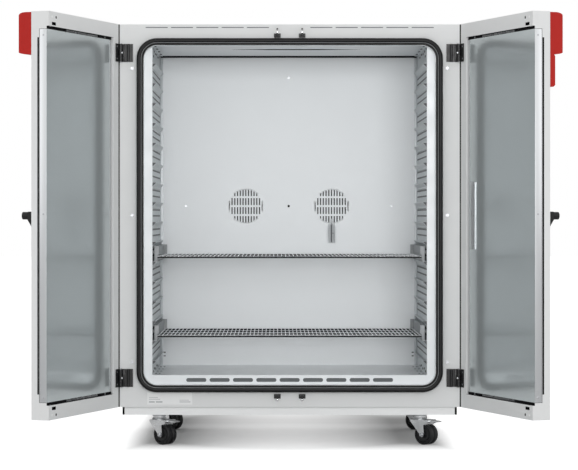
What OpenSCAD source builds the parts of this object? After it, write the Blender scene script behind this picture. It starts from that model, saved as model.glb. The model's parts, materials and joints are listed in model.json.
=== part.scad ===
/* [Cabinet] */
// Overall width of the cabinet
cabinet_w = 1234; // [1200:2:1300]
// Depth from the front frame to the rear panel
cabinet_d = 735; // [700:1:800]
// Height of the top above the floor
cabinet_top = 1528; // [1515:1:1600]
// Height of the lower edge of the cabinet above the floor
cabinet_z = 139; // [125:1:160]
// Thickness of the painted sheet
sheet_t = 1.5; // [1:0.1:2]
// Thickness of the front frame plate
frame_t = 2; // [1.5:0.1:3]

/* [Chamber] */
// Distance from the side of the cabinet to the side air baffle
side_wall = 117; // [113:1:125]
// Distance from the rear panel to the back of the chamber
back_wall = 50; // [40:1:60]
// Depth of the fan space behind the rear air baffle
plenum_d = 45; // [42:1:52]
// Width of the air duct behind each side baffle
duct_w = 40; // [30:1:40]
// Thickness of the stainless sheet
steel_t = 1.2; // [0.8:0.1:1.5]
// Gap between the rear air baffle and the ceiling
baffle_top_gap = 5; // [3:0.5:10]

/* [Mouth] */
// Distance from the side of the cabinet to the rounded opening
mouth_inset = 86; // [82:1:92]
// Distance from the lower edge of the cabinet up to the opening
mouth_rise = 78.7; // [75:0.1:83]
// Distance from the top of the cabinet down to the opening
mouth_drop = 75; // [73:0.5:80]
// Corner radius of the opening
mouth_r = 50; // [40:1:60]
// Distance from the front frame to the chamber
collar_d = 28; // [20:1:32]
// Distance from the sill up to the chamber floor
sill_h = 35.3; // [32:0.1:40]
// Width of each air slot in the sill
sill_slot_w = 73; // [60:1:78]
// Height of each air slot in the sill
sill_slot_h = 14; // [8:1:18]
// Distance between the air slots in the sill
sill_slot_pitch = 85; // [80:1:95]
// Width of the round lobe of the door gasket
gasket_lobe_w = 18; // [14:0.5:18]

/* [Shelf rails] */
// Number of rails on each side
rail_count = 16; // [15:1:16]
// Distance from the ceiling down to the top of the first rail
rail_drop = 64; // [60:1:70]
// Height of the lowest rail above the chamber floor
rail_rise = 51.5; // [45:0.5:60]
// How far a rail stands out from its wall
rail_out = 12; // [9:0.5:13]
// Rail that carries the upper shelf, counted from the top
upper_rail = 10; // [2:1:12]
// Rail that carries the lower shelf, counted from the top
lower_rail = 14; // [13:1:14]

/* [Shelves] */
// Distance between a shelf and the rear air baffle
shelf_gap = 38; // [30:1:90]
// Diameter of the rod round a shelf
shelf_rod = 8; // [6:0.5:9]
// Diameter of the fine shelf wires
shelf_wire = 3; // [2:0.5:4]
// Distance between the fine wires
wire_pitch = 14.5; // [12:0.5:20]

/* [Fans] */
// Distance between the two fan axes
fan_gap = 334; // [320:2:360]
// Height of the fan axes above the middle of the chamber
fan_rise = 18; // [0:1:40]
// Radius of the slotted grille in front of each fan
grille_r = 68; // [62:1:70]
// Distance between the grille columns
grille_pitch = 10.7; // [10:0.1:12]
// Width of a grille slot
grille_slot = 5; // [4.8:0.1:6]
// Outer radius of a fan wheel
fan_r = 64; // [56:1:66]
// Number of blades of a fan wheel
fan_blades = 11; // [7:1:13]

/* [Doors] */
// Angle by which the doors stand open
door_open = 109; // [90:1:120]
// Thickness of a door
door_t = 65; // [60:1:80]
// Gap between the front frame and a closed door
door_gap = 20; // [18:0.5:24]
// Distance from the side of the cabinet to the hinge axis
hinge_inset = 4; // [3:0.5:6]
// Distance from the hinge axis to the inner face of a door
hinge_face = 8; // [8:0.1:8.6]
// Gap between the hinge axis and the edge of the door
door_edge_gap = 1; // [0.8:0.1:3]
// Half of the gap between the two closed doors
door_mid_gap = 2; // [1:0.5:3]
// Height of the painted band along the top and the bottom of a door
door_band = 50.5; // [48:0.5:50.5]
// Width of the painted band on the hinge side
door_hinge_band = 46; // [40:1:48]
// Width of the dark groove round the inner panel
door_groove = 10; // [8:0.5:12]
// Step from the painted band down to the inner panel
panel_step = 8.5; // [6:0.5:10]
// Depth of the folded edge of the inner panel
panel_fold = 26; // [20:1:36]

/* [Hinges] */
// Distance from the top of the cabinet down to the middle of the upper hinges
hinge_drop = 104; // [90:1:150]
// Distance from the lower edge of the cabinet up to the middle of the lower hinges
hinge_rise = 106; // [80:1:160]
// Length of a hinge
hinge_h = 65; // [55:1:80]
// Radius of a hinge knuckle
knuckle_r = 7.5; // [6.5:0.1:7.6]
// Radius of a hinge pin
hinge_pin_r = 3; // [2:0.5:4]
// Width of the hinge leaf on the cabinet
leaf_w = 48; // [40:1:52]

/* [Latch] */
// Distance from the middle of the cabinet to the latch rods
latch_x = 45; // [40:1:60]
// Distance from the top of the cabinet down to the upper strikers
striker_drop = 41; // [34:1:43]
// Distance from the lower edge of the cabinet up to the lower strikers
striker_rise = 39; // [34:1:43]
// Diameter of the latch rods
latch_rod = 8; // [6:0.5:9]
// Depth of the latch rods behind the inner face of a door
latch_w = 15; // [14.5:0.5:16]
// Pitch radius of the pinion that drives the rods
pinion_r = 12; // [10:0.5:13]
// Number of teeth of the pinion
pinion_teeth = 18; // [18:2:22]
// Play between the flanks of pinion and rack
tooth_play = 0.24; // [0.15:0.01:0.3]
// Length of the door lever
lever_len = 118; // [90:1:150]
// Height of the door lever
lever_h = 26; // [20:1:30]

/* [Fascia] */
// Width of the red fascia blocks
fascia_w = 330; // [250:5:400]
// Height of the red fascia blocks
fascia_h = 144; // [120:1:160]
// How far the fascia blocks stand out from the door
fascia_out = 48; // [35:1:55]
// Height of the controller block below the right fascia
controller_h = 110; // [90:1:140]
// How far the controller block stands out from the door
controller_out = 20; // [15:1:30]
// Travel of the power button
button_travel = 2; // [1:0.5:3]

/* [Casters] */
// Height of the underside of the base above the floor
caster_h = 110; // [108:1:116]
// Radius of the caster wheels
wheel_r = 37.5; // [34:0.5:38]
// Width of one caster wheel
wheel_w = 22; // [18:1:24]
// Distance from the swivel axis to the wheel axis
trail = 28; // [24:1:32]
// Direction in which the wheels trail, from straight right
caster_turn = -37; // [-90:1:90]
// Distance from the side of the cabinet to the swivel axes
caster_inset = 141; // [97:1:177]
// Distance from the front frame to the front swivel axes
caster_front_y = 55; // [55:1:80]
// Distance from the rear panel to the rear swivel axes
caster_rear_y = 60; // [55:1:100]

/* [Rear] */
// Outer radius of the exhaust spigot
spigot_r = 27; // [20:1:30]
// Length of the exhaust spigot behind the rear panel
spigot_out = 30; // [20:1:40]

/* [Hidden] */
$fn = 48;

// Clearances
run_gap = 0.05;
seat_gap = 0.3;
slide_gap = 1;

// Mouth
half_w = cabinet_w / 2;
mouth_w = cabinet_w - 2 * mouth_inset;
mouth_z = cabinet_z + mouth_rise;
mouth_top = cabinet_top - mouth_drop;
mouth_h = mouth_top - mouth_z;
mouth_mid_z = (mouth_top + mouth_z) / 2;
gasket_lip_w = 4.5;
gasket_band = gasket_lobe_w + 6;
gasket_h = door_gap + panel_step - 0.5;

// Chamber
chamber_w = cabinet_w - 2 * side_wall;
chamber_z = mouth_z + sill_h;
chamber_top = mouth_top;
chamber_h = chamber_top - chamber_z;
liner_x = chamber_w / 2 + duct_w;
liner_y = collar_d + steel_t;
liner_back = cabinet_d - back_wall;
rear_baffle_y = liner_back - plenum_d;
fan_z = (chamber_z + chamber_top) / 2 + fan_rise;
rail_len = rear_baffle_y - collar_d - 30;
rail_y = collar_d + 16;
rail_top = chamber_top - rail_drop;
rail_pitch = (chamber_h - rail_drop - rail_rise) / (rail_count - 1);

// Doors, measured from the hinge axis: u towards the lock side, w outwards from the inner face
pivot_x = half_w - hinge_inset;
pivot_out = door_gap - hinge_face;
door_u1 = pivot_x - door_mid_gap;
door_z1 = cabinet_top;
panel_u0 = door_edge_gap + door_hinge_band + door_groove;
panel_u1 = door_u1 - 1;
panel_z0 = cabinet_z + door_band + door_groove;
panel_z1 = door_z1 - door_band - door_groove;
panel_w1 = panel_step + panel_fold;
lock_edge_w = panel_w1 + 1.5;
core_w = 14;
door_mid_z = (cabinet_z + door_z1) / 2;

// Latch, with the spindle on the line of the rods
striker_top_z = cabinet_top - striker_drop;
striker_low_z = cabinet_z + striker_rise;
latch_u = pivot_x - latch_x;
spindle_r = 5;
rack_bar = 8;
pinion_m = 2 * pinion_r / pinion_teeth;
rack_pitch = PI * pinion_m;
latch_travel = pinion_r * PI / 2;
channel_w1 = latch_w + 11;
channel_half = pinion_r + pinion_m * 1.25 + rack_bar + 4;
striker_eye_r = latch_rod / 2 + 1.5;
striker_r = striker_eye_r + 2;
striker_t = 6;
lever_w0 = 26.4;
lever_arm_w = 32;
lever_out = 50;

// Hinges
hinge_top_z = cabinet_top - hinge_drop;
hinge_low_z = cabinet_z + hinge_rise;

// Fascia
fascia_u1 = door_u1 - 2;
fascia_u0 = fascia_u1 - fascia_w;
fascia_z1 = door_z1 - 2;
fascia_z0 = fascia_z1 - fascia_h;
button_r = 9;
button_u = (fascia_u0 + fascia_u1) / 2;
button_z = fascia_z0 - controller_h / 2;

// Shelves
shelf_half = chamber_w / 2 - rail_out - 5;
carrier_h = 56;
carrier_t = 1.5;
ledge_rise = 10.2;
shelf_lift = ledge_rise + carrier_t + seat_gap;
shelf_y = collar_d + 34;
shelf_d = rear_baffle_y - shelf_y - shelf_gap;

// Casters
caster_x = half_w - caster_inset;
caster_base = cabinet_d - caster_front_y - caster_rear_y;
swivel_pin_r = 5;
axle_r = 4;
pedal_pin_r = 2.5;
fork_top = caster_h - 6.4;
fork_under = wheel_r * 2 + 11;
leg_in = wheel_w + 4 + 1;
leg_t = 3;
pedal_t = trail + 18;
pedal_z = wheel_r + 48.5;
pedal_tip = 84;
hub_r = 11;

// Depth of the whole part, which puts the front plane behind the middle
reach_front = pivot_out + door_u1 * sin(door_open) + hinge_face * cos(door_open);
reach_back = cabinet_d + spigot_out;
front_y = (reach_front - reach_back) / 2;

// Colours
paint = [0.84, 0.85, 0.85];
stainless = [0.74, 0.76, 0.77];
dark = [0.08, 0.08, 0.09];
red = [0.72, 0.17, 0.16];
zinc = [0.62, 0.63, 0.64];
foam = [0.86, 0.82, 0.66];

// Places a piece that is drawn from the front plane of the cabinet
module on_cabinet() {
    translate([0, front_y, 0]) children();
}

// Places a piece of a door that is drawn as u, w and z; side is -1 for left and 1 for right
module on_door(side) {
    translate([0, front_y, 0])
    mirror([side > 0 ? 1 : 0, 0, 0])
    translate([-pivot_x, -pivot_out, 0])
    rotate([0, 0, -door_open])
    mirror([0, 1, 0])
    translate([0, hinge_face, 0])
    children();
}

module box(x, y, z) {
    translate([x[0], y[0], z[0]])
    cube([x[1] - x[0], y[1] - y[0], z[1] - z[0]]);
}

// Stands an x and z outline up and gives it the depth from y0 to y1
module along_y(y0, y1) {
    translate([0, y1, 0]) rotate([90, 0, 0]) linear_extrude(height = y1 - y0) children();
}

// Gives a y and z outline the width from x0 to x1
module along_x(x0, x1) {
    translate([x0, 0, 0]) rotate([90, 0, 90]) linear_extrude(height = x1 - x0) children();
}

module round_rect(w, h, r) {
    square([w - 2 * r, h], center = true);
    square([w, h - 2 * r], center = true);
    for (x = [-1, 1], y = [-1, 1])
        translate([x * (w / 2 - r), y * (h / 2 - r)]) circle(r = r, $fn = 64);
}

// Sweeps a profile round a rounded rectangle that lies in the plane of the front frame
module mouth_ring(w, h, r) {
    for (k = [0:3]) {
        across = k % 2 == 0 ? w : h;
        along = (k % 2 == 0 ? h : w) - 2 * r;
        rotate([0, 0, 90 * k]) {
            translate([across / 2, along / 2, 0])
            rotate([90, 0, 0]) linear_extrude(height = along) children();
            translate([across / 2 - r, along / 2, 0])
            rotate_extrude(angle = 90, $fn = 64) translate([r, 0]) children();
        }
    }
}

module mouth_outline(margin) {
    translate([0, mouth_mid_z]) round_rect(mouth_w + 2 * margin, mouth_h + 2 * margin, mouth_r + margin);
}

// Painted wrap of both sides and the top
module outer_housing() {
    color(paint) on_cabinet() difference() {
        box([-half_w, half_w], [frame_t, cabinet_d - sheet_t], [cabinet_z, cabinet_top]);
        box([-half_w + sheet_t, half_w - sheet_t], [0, cabinet_d], [0, cabinet_top - sheet_t]);
    }
}

spigot_neck_r = spigot_r - 1.5;
spigot_bore_r = spigot_r - 3;
spigot_step = 4;
spigot_x = -half_w / 2;
spigot_z = chamber_top - 60;
inlet_x = half_w - 160;
inlet_z = cabinet_z + 70;
inlet_size = [48, 32];

module rear_panel() {
    color(paint) on_cabinet() difference() {
        box([-half_w, half_w], [cabinet_d - sheet_t, cabinet_d], [cabinet_z, cabinet_top]);
        along_y(cabinet_d - 9, cabinet_d + 9) {
            translate([spigot_x, spigot_z]) circle(r = spigot_neck_r + seat_gap);
            translate([inlet_x, inlet_z]) square(inlet_size + [1, 1] * seat_gap * 2, center = true);
        }
    }
}

vents_each_side = 5;
vent_pitch = (half_w - 157) / vents_each_side;
vent_len = vent_pitch - 12;
vent_h = 3;

// Painted frame with its rounded mouth and a row of fine vents under the top edge
module front_frame() {
    color(paint) on_cabinet() along_y(0, frame_t) difference() {
        translate([-half_w, cabinet_z]) square([cabinet_w, cabinet_top - cabinet_z]);
        mouth_outline(0);
        for (side = [-1, 1], k = [1:vents_each_side])
            translate([side * (vent_pitch * k + 23), cabinet_top - 11])
            square([vent_len, vent_h], center = true);
    }
}

plinth_half = half_w - 17;
plinth_y0 = 8;
plinth_y1 = cabinet_d - 8;
pad = 90;
stem_r = 6;
stem_h = 18;

// Base tray with a pad over each caster
module base_plinth() {
    color(paint) on_cabinet() difference() {
        union() {
            difference() {
                box([-plinth_half, plinth_half], [plinth_y0, plinth_y1], [caster_h, cabinet_z]);
                box([-plinth_half + 3, plinth_half - 3], [plinth_y0 + 3, plinth_y1 - 3],
                    [0, cabinet_z - 3]);
            }
            for (x = [-1, 1], k = [0, 1])
                translate([x * caster_x, caster_front_y + k * caster_base, (caster_h + cabinet_z) / 2])
                cube([pad, pad, cabinet_z - caster_h], center = true);
        }
        for (x = [-1, 1], k = [0, 1])
            translate([x * caster_x, caster_front_y + k * caster_base, caster_h - 1])
            cylinder(r = stem_r + run_gap, h = stem_h + 2);
    }
}

// Round lobe, inner lip and foot of the gasket; x runs outwards from the mouth, y towards the doors
module gasket_profile() {
    lobe_r = gasket_lobe_w / 2;
    square([gasket_band, 3]);
    square([gasket_lip_w, 10]);
    translate([gasket_band - gasket_lobe_w, 0]) square([gasket_lobe_w, gasket_h - lobe_r]);
    translate([gasket_band - lobe_r, gasket_h - lobe_r]) circle(r = lobe_r);
}

module door_gasket() {
    color(dark) on_cabinet() translate([0, 0, mouth_mid_z]) rotate([90, 0, 0])
        mouth_ring(mouth_w, mouth_h, mouth_r) gasket_profile();
}

// Stainless mouth: rounded tube, flat face round the chamber, and the slotted sill
module front_collar() {
    tube_gap = 0.5;
    color(stainless) on_cabinet() {
        difference() {
            union() {
                along_y(0, collar_d) mouth_outline(-tube_gap);
                box([-liner_x - steel_t, liner_x + steel_t], [collar_d, liner_y],
                    [mouth_z + tube_gap, chamber_top + steel_t]);
            }
            along_y(-1, collar_d) mouth_outline(-tube_gap - steel_t);
            box([-chamber_w / 2, chamber_w / 2], [collar_d - 1, liner_y + 1], [chamber_z, mouth_top - tube_gap]);
            for (k = [-4:4])
                translate([k * sill_slot_pitch, 0, (mouth_z + chamber_z) / 2])
                along_y(collar_d - 1, liner_y + 1)
                round_rect(sill_slot_w, sill_slot_h, sill_slot_h / 2 - 0.5);
        }
    }
}

module inner_chamber() {
    color(stainless) on_cabinet() difference() {
        box([-liner_x - steel_t, liner_x + steel_t], [liner_y, liner_back + steel_t],
            [chamber_z - steel_t, chamber_top + steel_t]);
        box([-liner_x, liner_x], [0, liner_back], [chamber_z, chamber_top]);
        for (x = [-1, 1])
            translate([x * fan_gap / 2, liner_back - 1, fan_z]) rotate([-90, 0, 0])
            cylinder(r = shaft_r + 3, h = steel_t + 2);
        translate([spigot_x, liner_back - 1, spigot_z]) rotate([-90, 0, 0])
            cylinder(r = spigot_bore_r, h = steel_t + 2);
    }
}

duct_slot = [46, 5];
duct_slot_pitch = 78;
duct_dot_r = 3;

// Side air baffle, drawn for the right: wall, embossed shelf rails, and air slots between them
module side_baffle() {
    x0 = chamber_w / 2;
    difference() {
        box([x0, x0 + steel_t], [liner_y, rear_baffle_y], [chamber_z, chamber_top]);
        for (k = [0:rail_count - 4], row = [0.36, 0.74], n = [0:6])
            translate([x0 - 1, rail_y + 20 + n * duct_slot_pitch, rail_top - (k + row) * rail_pitch])
            cube([steel_t + 2, duct_slot[0], duct_slot[1]]);
        for (k = [rail_count - 3:rail_count - 1], n = [0:3])
            translate([x0 - 1, rail_y + 40 + n * duct_slot_pitch * 2, rail_top - (k + 0.6) * rail_pitch])
            rotate([0, 90, 0]) cylinder(r = duct_dot_r, h = steel_t + 2);
    }
    for (k = [0:rail_count - 1])
        translate([x0, 0, rail_top - k * rail_pitch])
        along_y(rail_y, rail_y + rail_len)
        polygon([[0, 0], [-rail_out + 1, 0], [-rail_out, -1], [-rail_out, -2.5], [0, -15]]);
}

module left_air_baffle() {
    color(stainless) on_cabinet() mirror([1, 0, 0]) side_baffle();
}

module right_air_baffle() {
    color(stainless) on_cabinet() side_baffle();
}

// Upright slot with chamfered ends
module slot_outline(z0, z1) {
    a = grille_slot / 2;
    c = a * 0.6;
    polygon([
        [-a, z0 + c], [-a + c, z0], [a - c, z0], [a, z0 + c],
        [a, z1 - c], [a - c, z1], [-a + c, z1], [-a, z1 - c]
    ]);
}

// Slots of one fan grille, in columns that end on a circle
module grille_outline() {
    bridge = 7;
    row_h = grille_r * 0.41;
    columns = floor(grille_r / grille_pitch);
    for (k = [-columns:columns]) {
        half = sqrt(pow(grille_r, 2) - pow(k * grille_pitch, 2));
        inner_end = min(half, bridge / 2 + row_h);
        translate([k * grille_pitch, 0]) {
            if (half < row_h)
                slot_outline(-half * 0.9, half * 0.9);
            else
                for (s = [0, 1]) mirror([0, s]) {
                    slot_outline(bridge / 2, inner_end);
                    if (half - inner_end > bridge + grille_slot + 1)
                        slot_outline(inner_end + bridge, half);
                }
        }
    }
}

module rear_air_baffle() {
    x0 = chamber_w / 2 + steel_t;
    color(stainless) on_cabinet() along_y(rear_baffle_y, rear_baffle_y + steel_t) difference() {
        translate([-x0, chamber_z]) square([2 * x0, chamber_h - baffle_top_gap]);
        for (x = [-1, 1]) translate([x * fan_gap / 2, fan_z]) grille_outline();
    }
}

// Foam between the liner and the housing
module insulation() {
    color(foam) on_cabinet() difference() {
        box([-half_w + sheet_t, half_w - sheet_t], [frame_t, cabinet_d - sheet_t],
            [cabinet_z, cabinet_top - sheet_t]);
        box([-liner_x - steel_t, liner_x + steel_t], [liner_y - steel_t, liner_back + steel_t],
            [chamber_z - steel_t, chamber_top + steel_t]);
        box([-liner_x - steel_t, liner_x + steel_t], [collar_d, liner_y], [mouth_z, chamber_top]);
        along_y(0, liner_y) mouth_outline(0);
        for (x = [-1, 1])
            translate([x * fan_gap / 2, liner_back - 1, fan_z]) rotate([-90, 0, 0])
            cylinder(r = motor_r + seat_gap, h = cabinet_d);
        translate([spigot_x, liner_back - 1, spigot_z]) rotate([-90, 0, 0])
            cylinder(r = spigot_neck_r + seat_gap, h = cabinet_d);
        translate([inlet_x, cabinet_d - 22, inlet_z])
            cube([inlet_size[0] + 2 * seat_gap, 50, inlet_size[1] + 2 * seat_gap], center = true);
    }
}

shaft_r = 4;
motor_r = 45;

module fan_motors() {
    motor_y = liner_back + steel_t;
    color(dark) on_cabinet() for (x = [-1, 1])
        translate([x * fan_gap / 2, motor_y, fan_z]) rotate([-90, 0, 0]) difference() {
            cylinder(r = motor_r, h = cabinet_d - sheet_t - motor_y);
            translate([0, 0, -1]) cylinder(r = shaft_r + run_gap, h = 31);
        }
}

coil_r = 88;
coil_tube = 4;

// One ring heater round each fan, on three feet
module heater_coils() {
    coil_y = rear_baffle_y + plenum_d / 2;
    color(zinc) on_cabinet() for (x = [-1, 1])
        translate([x * fan_gap / 2, coil_y, fan_z]) rotate([-90, 0, 0]) {
            rotate_extrude() translate([coil_r, 0]) circle(r = coil_tube, $fn = 24);
            for (a = [90, 210, 330]) rotate([0, 0, a]) translate([coil_r - 3, -5, 0])
                cube([6, 10, plenum_d / 2]);
        }
}

probe_r = 2.2;
probe_y = rear_baffle_y - 12;
probe_z0 = fan_z - 142;
probe_z1 = fan_z - 50;

// Sensor rod that hangs in front of the baffle and turns back through a slot of the grille
module temperature_probe() {
    behind = 4;
    color(zinc) on_cabinet() translate([fan_gap / 2, probe_y, 0]) {
        translate([0, 0, probe_z0]) cylinder(r = probe_r, h = probe_z1 - probe_z0);
        translate([0, 0, probe_z1]) sphere(r = probe_r, $fn = 24);
        translate([0, 0, probe_z1]) rotate([-90, 0, 0])
            cylinder(r = probe_r, h = rear_baffle_y + steel_t + behind - probe_y);
    }
}

module probe_guard() {
    guard_w = 26;
    guard_d = 22;
    z0 = fan_z - 143;
    z1 = fan_z - grille_r - 1;
    color(stainless) on_cabinet() translate([fan_gap / 2, rear_baffle_y, 0]) {
        box([-guard_w / 2, guard_w / 2], [-steel_t, 0], [z0, z1]);
        for (s = [0, 1]) mirror([s, 0, 0])
            box([guard_w / 2 - steel_t, guard_w / 2], [-guard_d, 0], [z0, z1 - 6]);
        translate([6, -steel_t, (z0 + z1) / 2]) rotate([90, 0, 0]) cylinder(r = 3, h = 1.5);
    }
}

// Eyes that the latch rods shoot through, and the contact pins above them
module door_strikers() {
    eye_y = -door_gap - latch_w;
    color(dark) on_cabinet() for (x = [-1, 1]) {
        for (z = [striker_low_z, striker_top_z])
            translate([x * latch_x, 0, z]) difference() {
                union() {
                    box([-striker_r, striker_r], [eye_y, 0], [-striker_t / 2, striker_t / 2]);
                    translate([0, eye_y, -striker_t / 2]) cylinder(r = striker_r, h = striker_t);
                    box([-12, 12], [-3, 0], [-8, 8]);
                }
                translate([0, eye_y, -striker_t]) cylinder(r = striker_eye_r, h = 2 * striker_t);
            }
        translate([x * latch_x, 0, striker_top_z + 24]) rotate([90, 0, 0]) cylinder(r = 3, h = 14);
    }
}

leaf_t = 4;
knuckle_gap = 0.5;
knuckle_h = (hinge_h - 2 * knuckle_gap) / 3;

// Cabinet half of a hinge, drawn for the left side about the hinge axis
module frame_leaf() {
    difference() {
        union() {
            for (z = [0, hinge_h - knuckle_h]) translate([0, 0, z]) {
                cylinder(r = knuckle_r, h = knuckle_h);
                box([-hinge_inset, knuckle_r], [0, pivot_out], [0, knuckle_h]);
            }
            box([14, leaf_w - hinge_inset], [pivot_out - leaf_t, pivot_out], [0, hinge_h]);
            for (z = [0, hinge_h - knuckle_h])
                box([0, leaf_w - hinge_inset], [pivot_out - leaf_t, pivot_out], [z, z + knuckle_h]);
            translate([leaf_w - hinge_inset - 17, pivot_out - leaf_t, 0]) cylinder(r = 5, h = hinge_h);
        }
        translate([0, 0, -1]) cylinder(r = hinge_pin_r + run_gap, h = hinge_h + 2);
        box([-50, 50], [pivot_out, pivot_out + 50], [-1, hinge_h + 1]);
    }
}

module at_hinge_axes() {
    for (s = [0, 1], z = [hinge_low_z, hinge_top_z])
        mirror([s, 0, 0]) translate([-pivot_x, -pivot_out, z - hinge_h / 2]) children();
}

module hinge_frame_leaves() {
    color(dark) on_cabinet() at_hinge_axes() frame_leaf();
}

module hinge_pins() {
    color(zinc) on_cabinet() at_hinge_axes() {
        translate([0, 0, -1]) cylinder(r = hinge_pin_r, h = hinge_h + 1);
        translate([0, 0, hinge_h]) cylinder(r = hinge_pin_r + 2, h = 2);
    }
}

// Button head screws of the front frame and of the rear air baffle
module panel_screws() {
    frame_screw_x = (half_w + mouth_w / 2) / 2 - 2;
    frame_screw_span = (cabinet_top - cabinet_z) / 2 - 161.5;
    baffle_screw_x = chamber_w / 2 - 100;
    baffle_screw_top = chamber_top - 83;
    color(zinc) on_cabinet() {
        for (x = [-1, 1], k = [-1, 0, 1])
            translate([x * frame_screw_x, 0, door_mid_z + k * frame_screw_span + 2]) rotate([90, 0, 0])
            cylinder(r = 6, h = 2.5);
        for (p = [[0, baffle_screw_top], [0, fan_z], [-baffle_screw_x, fan_z], [baffle_screw_x, fan_z]])
            translate([p[0], rear_baffle_y, p[1]]) rotate([90, 0, 0]) cylinder(r = 4, h = 2);
    }
}

// Bracket that hooks over a rail and carries one side of a shelf, drawn for the right side
module shelf_carrier() {
    wall_x = chamber_w / 2 - 0.5;
    plate_x = shelf_half + slide_gap;
    along_y(shelf_y - 2, shelf_y + shelf_d + 8) {
        translate([plate_x, 0]) square([carrier_t, carrier_h]);
        translate([plate_x, 0]) square([wall_x - plate_x, carrier_t]);
        translate([plate_x, carrier_h - carrier_t]) square([wall_x - plate_x, carrier_t]);
        translate([plate_x - 18, ledge_rise]) square([18 + carrier_t, carrier_t]);
    }
    box([plate_x - 12, plate_x + 1], [shelf_y + shelf_d + 2, shelf_y + shelf_d + 8], [ledge_rise, carrier_h]);
    box([plate_x - 6, plate_x + 1], [shelf_y - 2, shelf_y + 4], [shelf_lift + shelf_rod + 6, carrier_h]);
}

module shelf_carriers() {
    color(stainless) on_cabinet() for (s = [0, 1], k = [upper_rail, lower_rail])
        mirror([s, 0, 0]) translate([0, 0, rail_top - k * rail_pitch]) shelf_carrier();
}

module power_inlet() {
    color(dark) on_cabinet() translate([inlet_x, cabinet_d, inlet_z]) difference() {
        union() {
            cube([inlet_size[0], 44, inlet_size[1]], center = true);
            translate([0, 1.5, 0]) cube([inlet_size[0] + 10, 3, inlet_size[1] + 10], center = true);
        }
        translate([0, 15, 0]) cube([30, 20, 20], center = true);
    }
}

// Outlet tube with a thicker end for a hose, a little behind the rear panel
module exhaust_spigot() {
    spigot_y = liner_back + steel_t;
    color(stainless) on_cabinet() translate([spigot_x, 0, spigot_z]) rotate([-90, 0, 0]) difference() {
        union() {
            translate([0, 0, spigot_y]) cylinder(r = spigot_neck_r, h = cabinet_d + spigot_out - spigot_y);
            translate([0, 0, cabinet_d + spigot_step]) cylinder(r = spigot_r, h = spigot_out - spigot_step);
        }
        cylinder(r = spigot_bore_r, h = reach_back + 1);
    }
}

module at_swivels() {
    for (x = [-1, 1], k = [0, 1]) at_swivel(x, k) children();
}

// Swivel axis of one caster, turned to the trailing direction; k is 0 in front and 1 behind
module at_swivel(x, k) {
    translate([x * caster_x, front_y + caster_front_y + k * caster_base, 0])
    rotate([0, 0, caster_turn])
    children();
}

// Bolt-in stem, top disc and riveted swivel pin
module caster_mounts() {
    color(zinc) at_swivels() {
        translate([0, 0, caster_h]) cylinder(r = stem_r, h = stem_h);
        translate([0, 0, caster_h - 6]) cylinder(r = 25, h = 6);
        translate([0, 0, fork_under - 1]) cylinder(r = swivel_pin_r, h = caster_h - fork_under);
        translate([0, 0, fork_under - 4]) cylinder(r = 9, h = 4 - seat_gap);
    }
}

// Round bar across the caster between two distances from its middle
module across(t, z, r, half) {
    translate([t, 0, z]) rotate([90, 0, 0]) cylinder(r = r, h = 2 * half, center = true);
}

module fork_leg_outline(braked) {
    polygon([
        [-22, fork_under + 4], [-22, fork_under - 2], [trail - 9, wheel_r], [trail + 9, wheel_r],
        [34, fork_under - 14], [braked ? pedal_t + 5 : 36, fork_under - 8],
        [braked ? pedal_t + 5 : 36, fork_under + 4]
    ]);
    translate([trail, wheel_r]) circle(r = 9);
}

// Fork with two legs, the ball race cup and the wheel axle; a braked fork also holds the pedal pin
module fork(braked) {
    leg_out = leg_in + leg_t;
    difference() {
        union() {
            for (s = [0, 1]) mirror([0, s, 0]) along_y(leg_in, leg_out) fork_leg_outline(braked);
            box([-22, 34], [-leg_out, leg_out], [fork_under, fork_under + 4]);
            translate([0, 0, fork_under]) cylinder(r = 22, h = fork_top - fork_under);
        }
        cylinder(r = swivel_pin_r + run_gap, h = caster_h);
    }
    across(trail, wheel_r, axle_r, leg_out + 2);
    if (braked)
        across(pedal_t, pedal_z, pedal_pin_r, leg_out);
}

module front_left_fork() { color(zinc) at_swivel(-1, 0) fork(true); }
module front_right_fork() { color(zinc) at_swivel(1, 0) fork(true); }
module rear_left_fork() { color(zinc) at_swivel(-1, 1) fork(false); }
module rear_right_fork() { color(zinc) at_swivel(1, 1) fork(false); }

// Tyre and dished disc of one wheel, turned round the axle
module wheel_profile() {
    edge = 4;
    polygon([
        [axle_r + run_gap, 2], [axle_r + run_gap, wheel_w + 2], [hub_r, wheel_w + 2],
        [hub_r + 2, wheel_w - 3], [wheel_r - 11, wheel_w - 3], [wheel_r - 8, wheel_w + 2],
        [wheel_r - edge, wheel_w + 2], [wheel_r, wheel_w + 2 - edge], [wheel_r, 2 + edge],
        [wheel_r - edge, 2], [wheel_r - 9, 2], [wheel_r - 12, 5], [hub_r + 2, 5], [hub_r, 2]
    ]);
}

// Pair of wheels on one hub
module wheels() {
    color(dark) translate([trail, 0, wheel_r]) rotate([90, 0, 0]) {
        for (s = [0, 1]) mirror([0, 0, s]) rotate_extrude($fn = 64) wheel_profile();
        rotate_extrude() translate([axle_r + run_gap, -2]) square([hub_r - axle_r - run_gap, 4]);
    }
}

module front_left_wheels() { at_swivel(-1, 0) wheels(); }
module front_right_wheels() { at_swivel(1, 0) wheels(); }
module rear_left_wheels() { at_swivel(-1, 1) wheels(); }
module rear_right_wheels() { at_swivel(1, 1) wheels(); }

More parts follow.
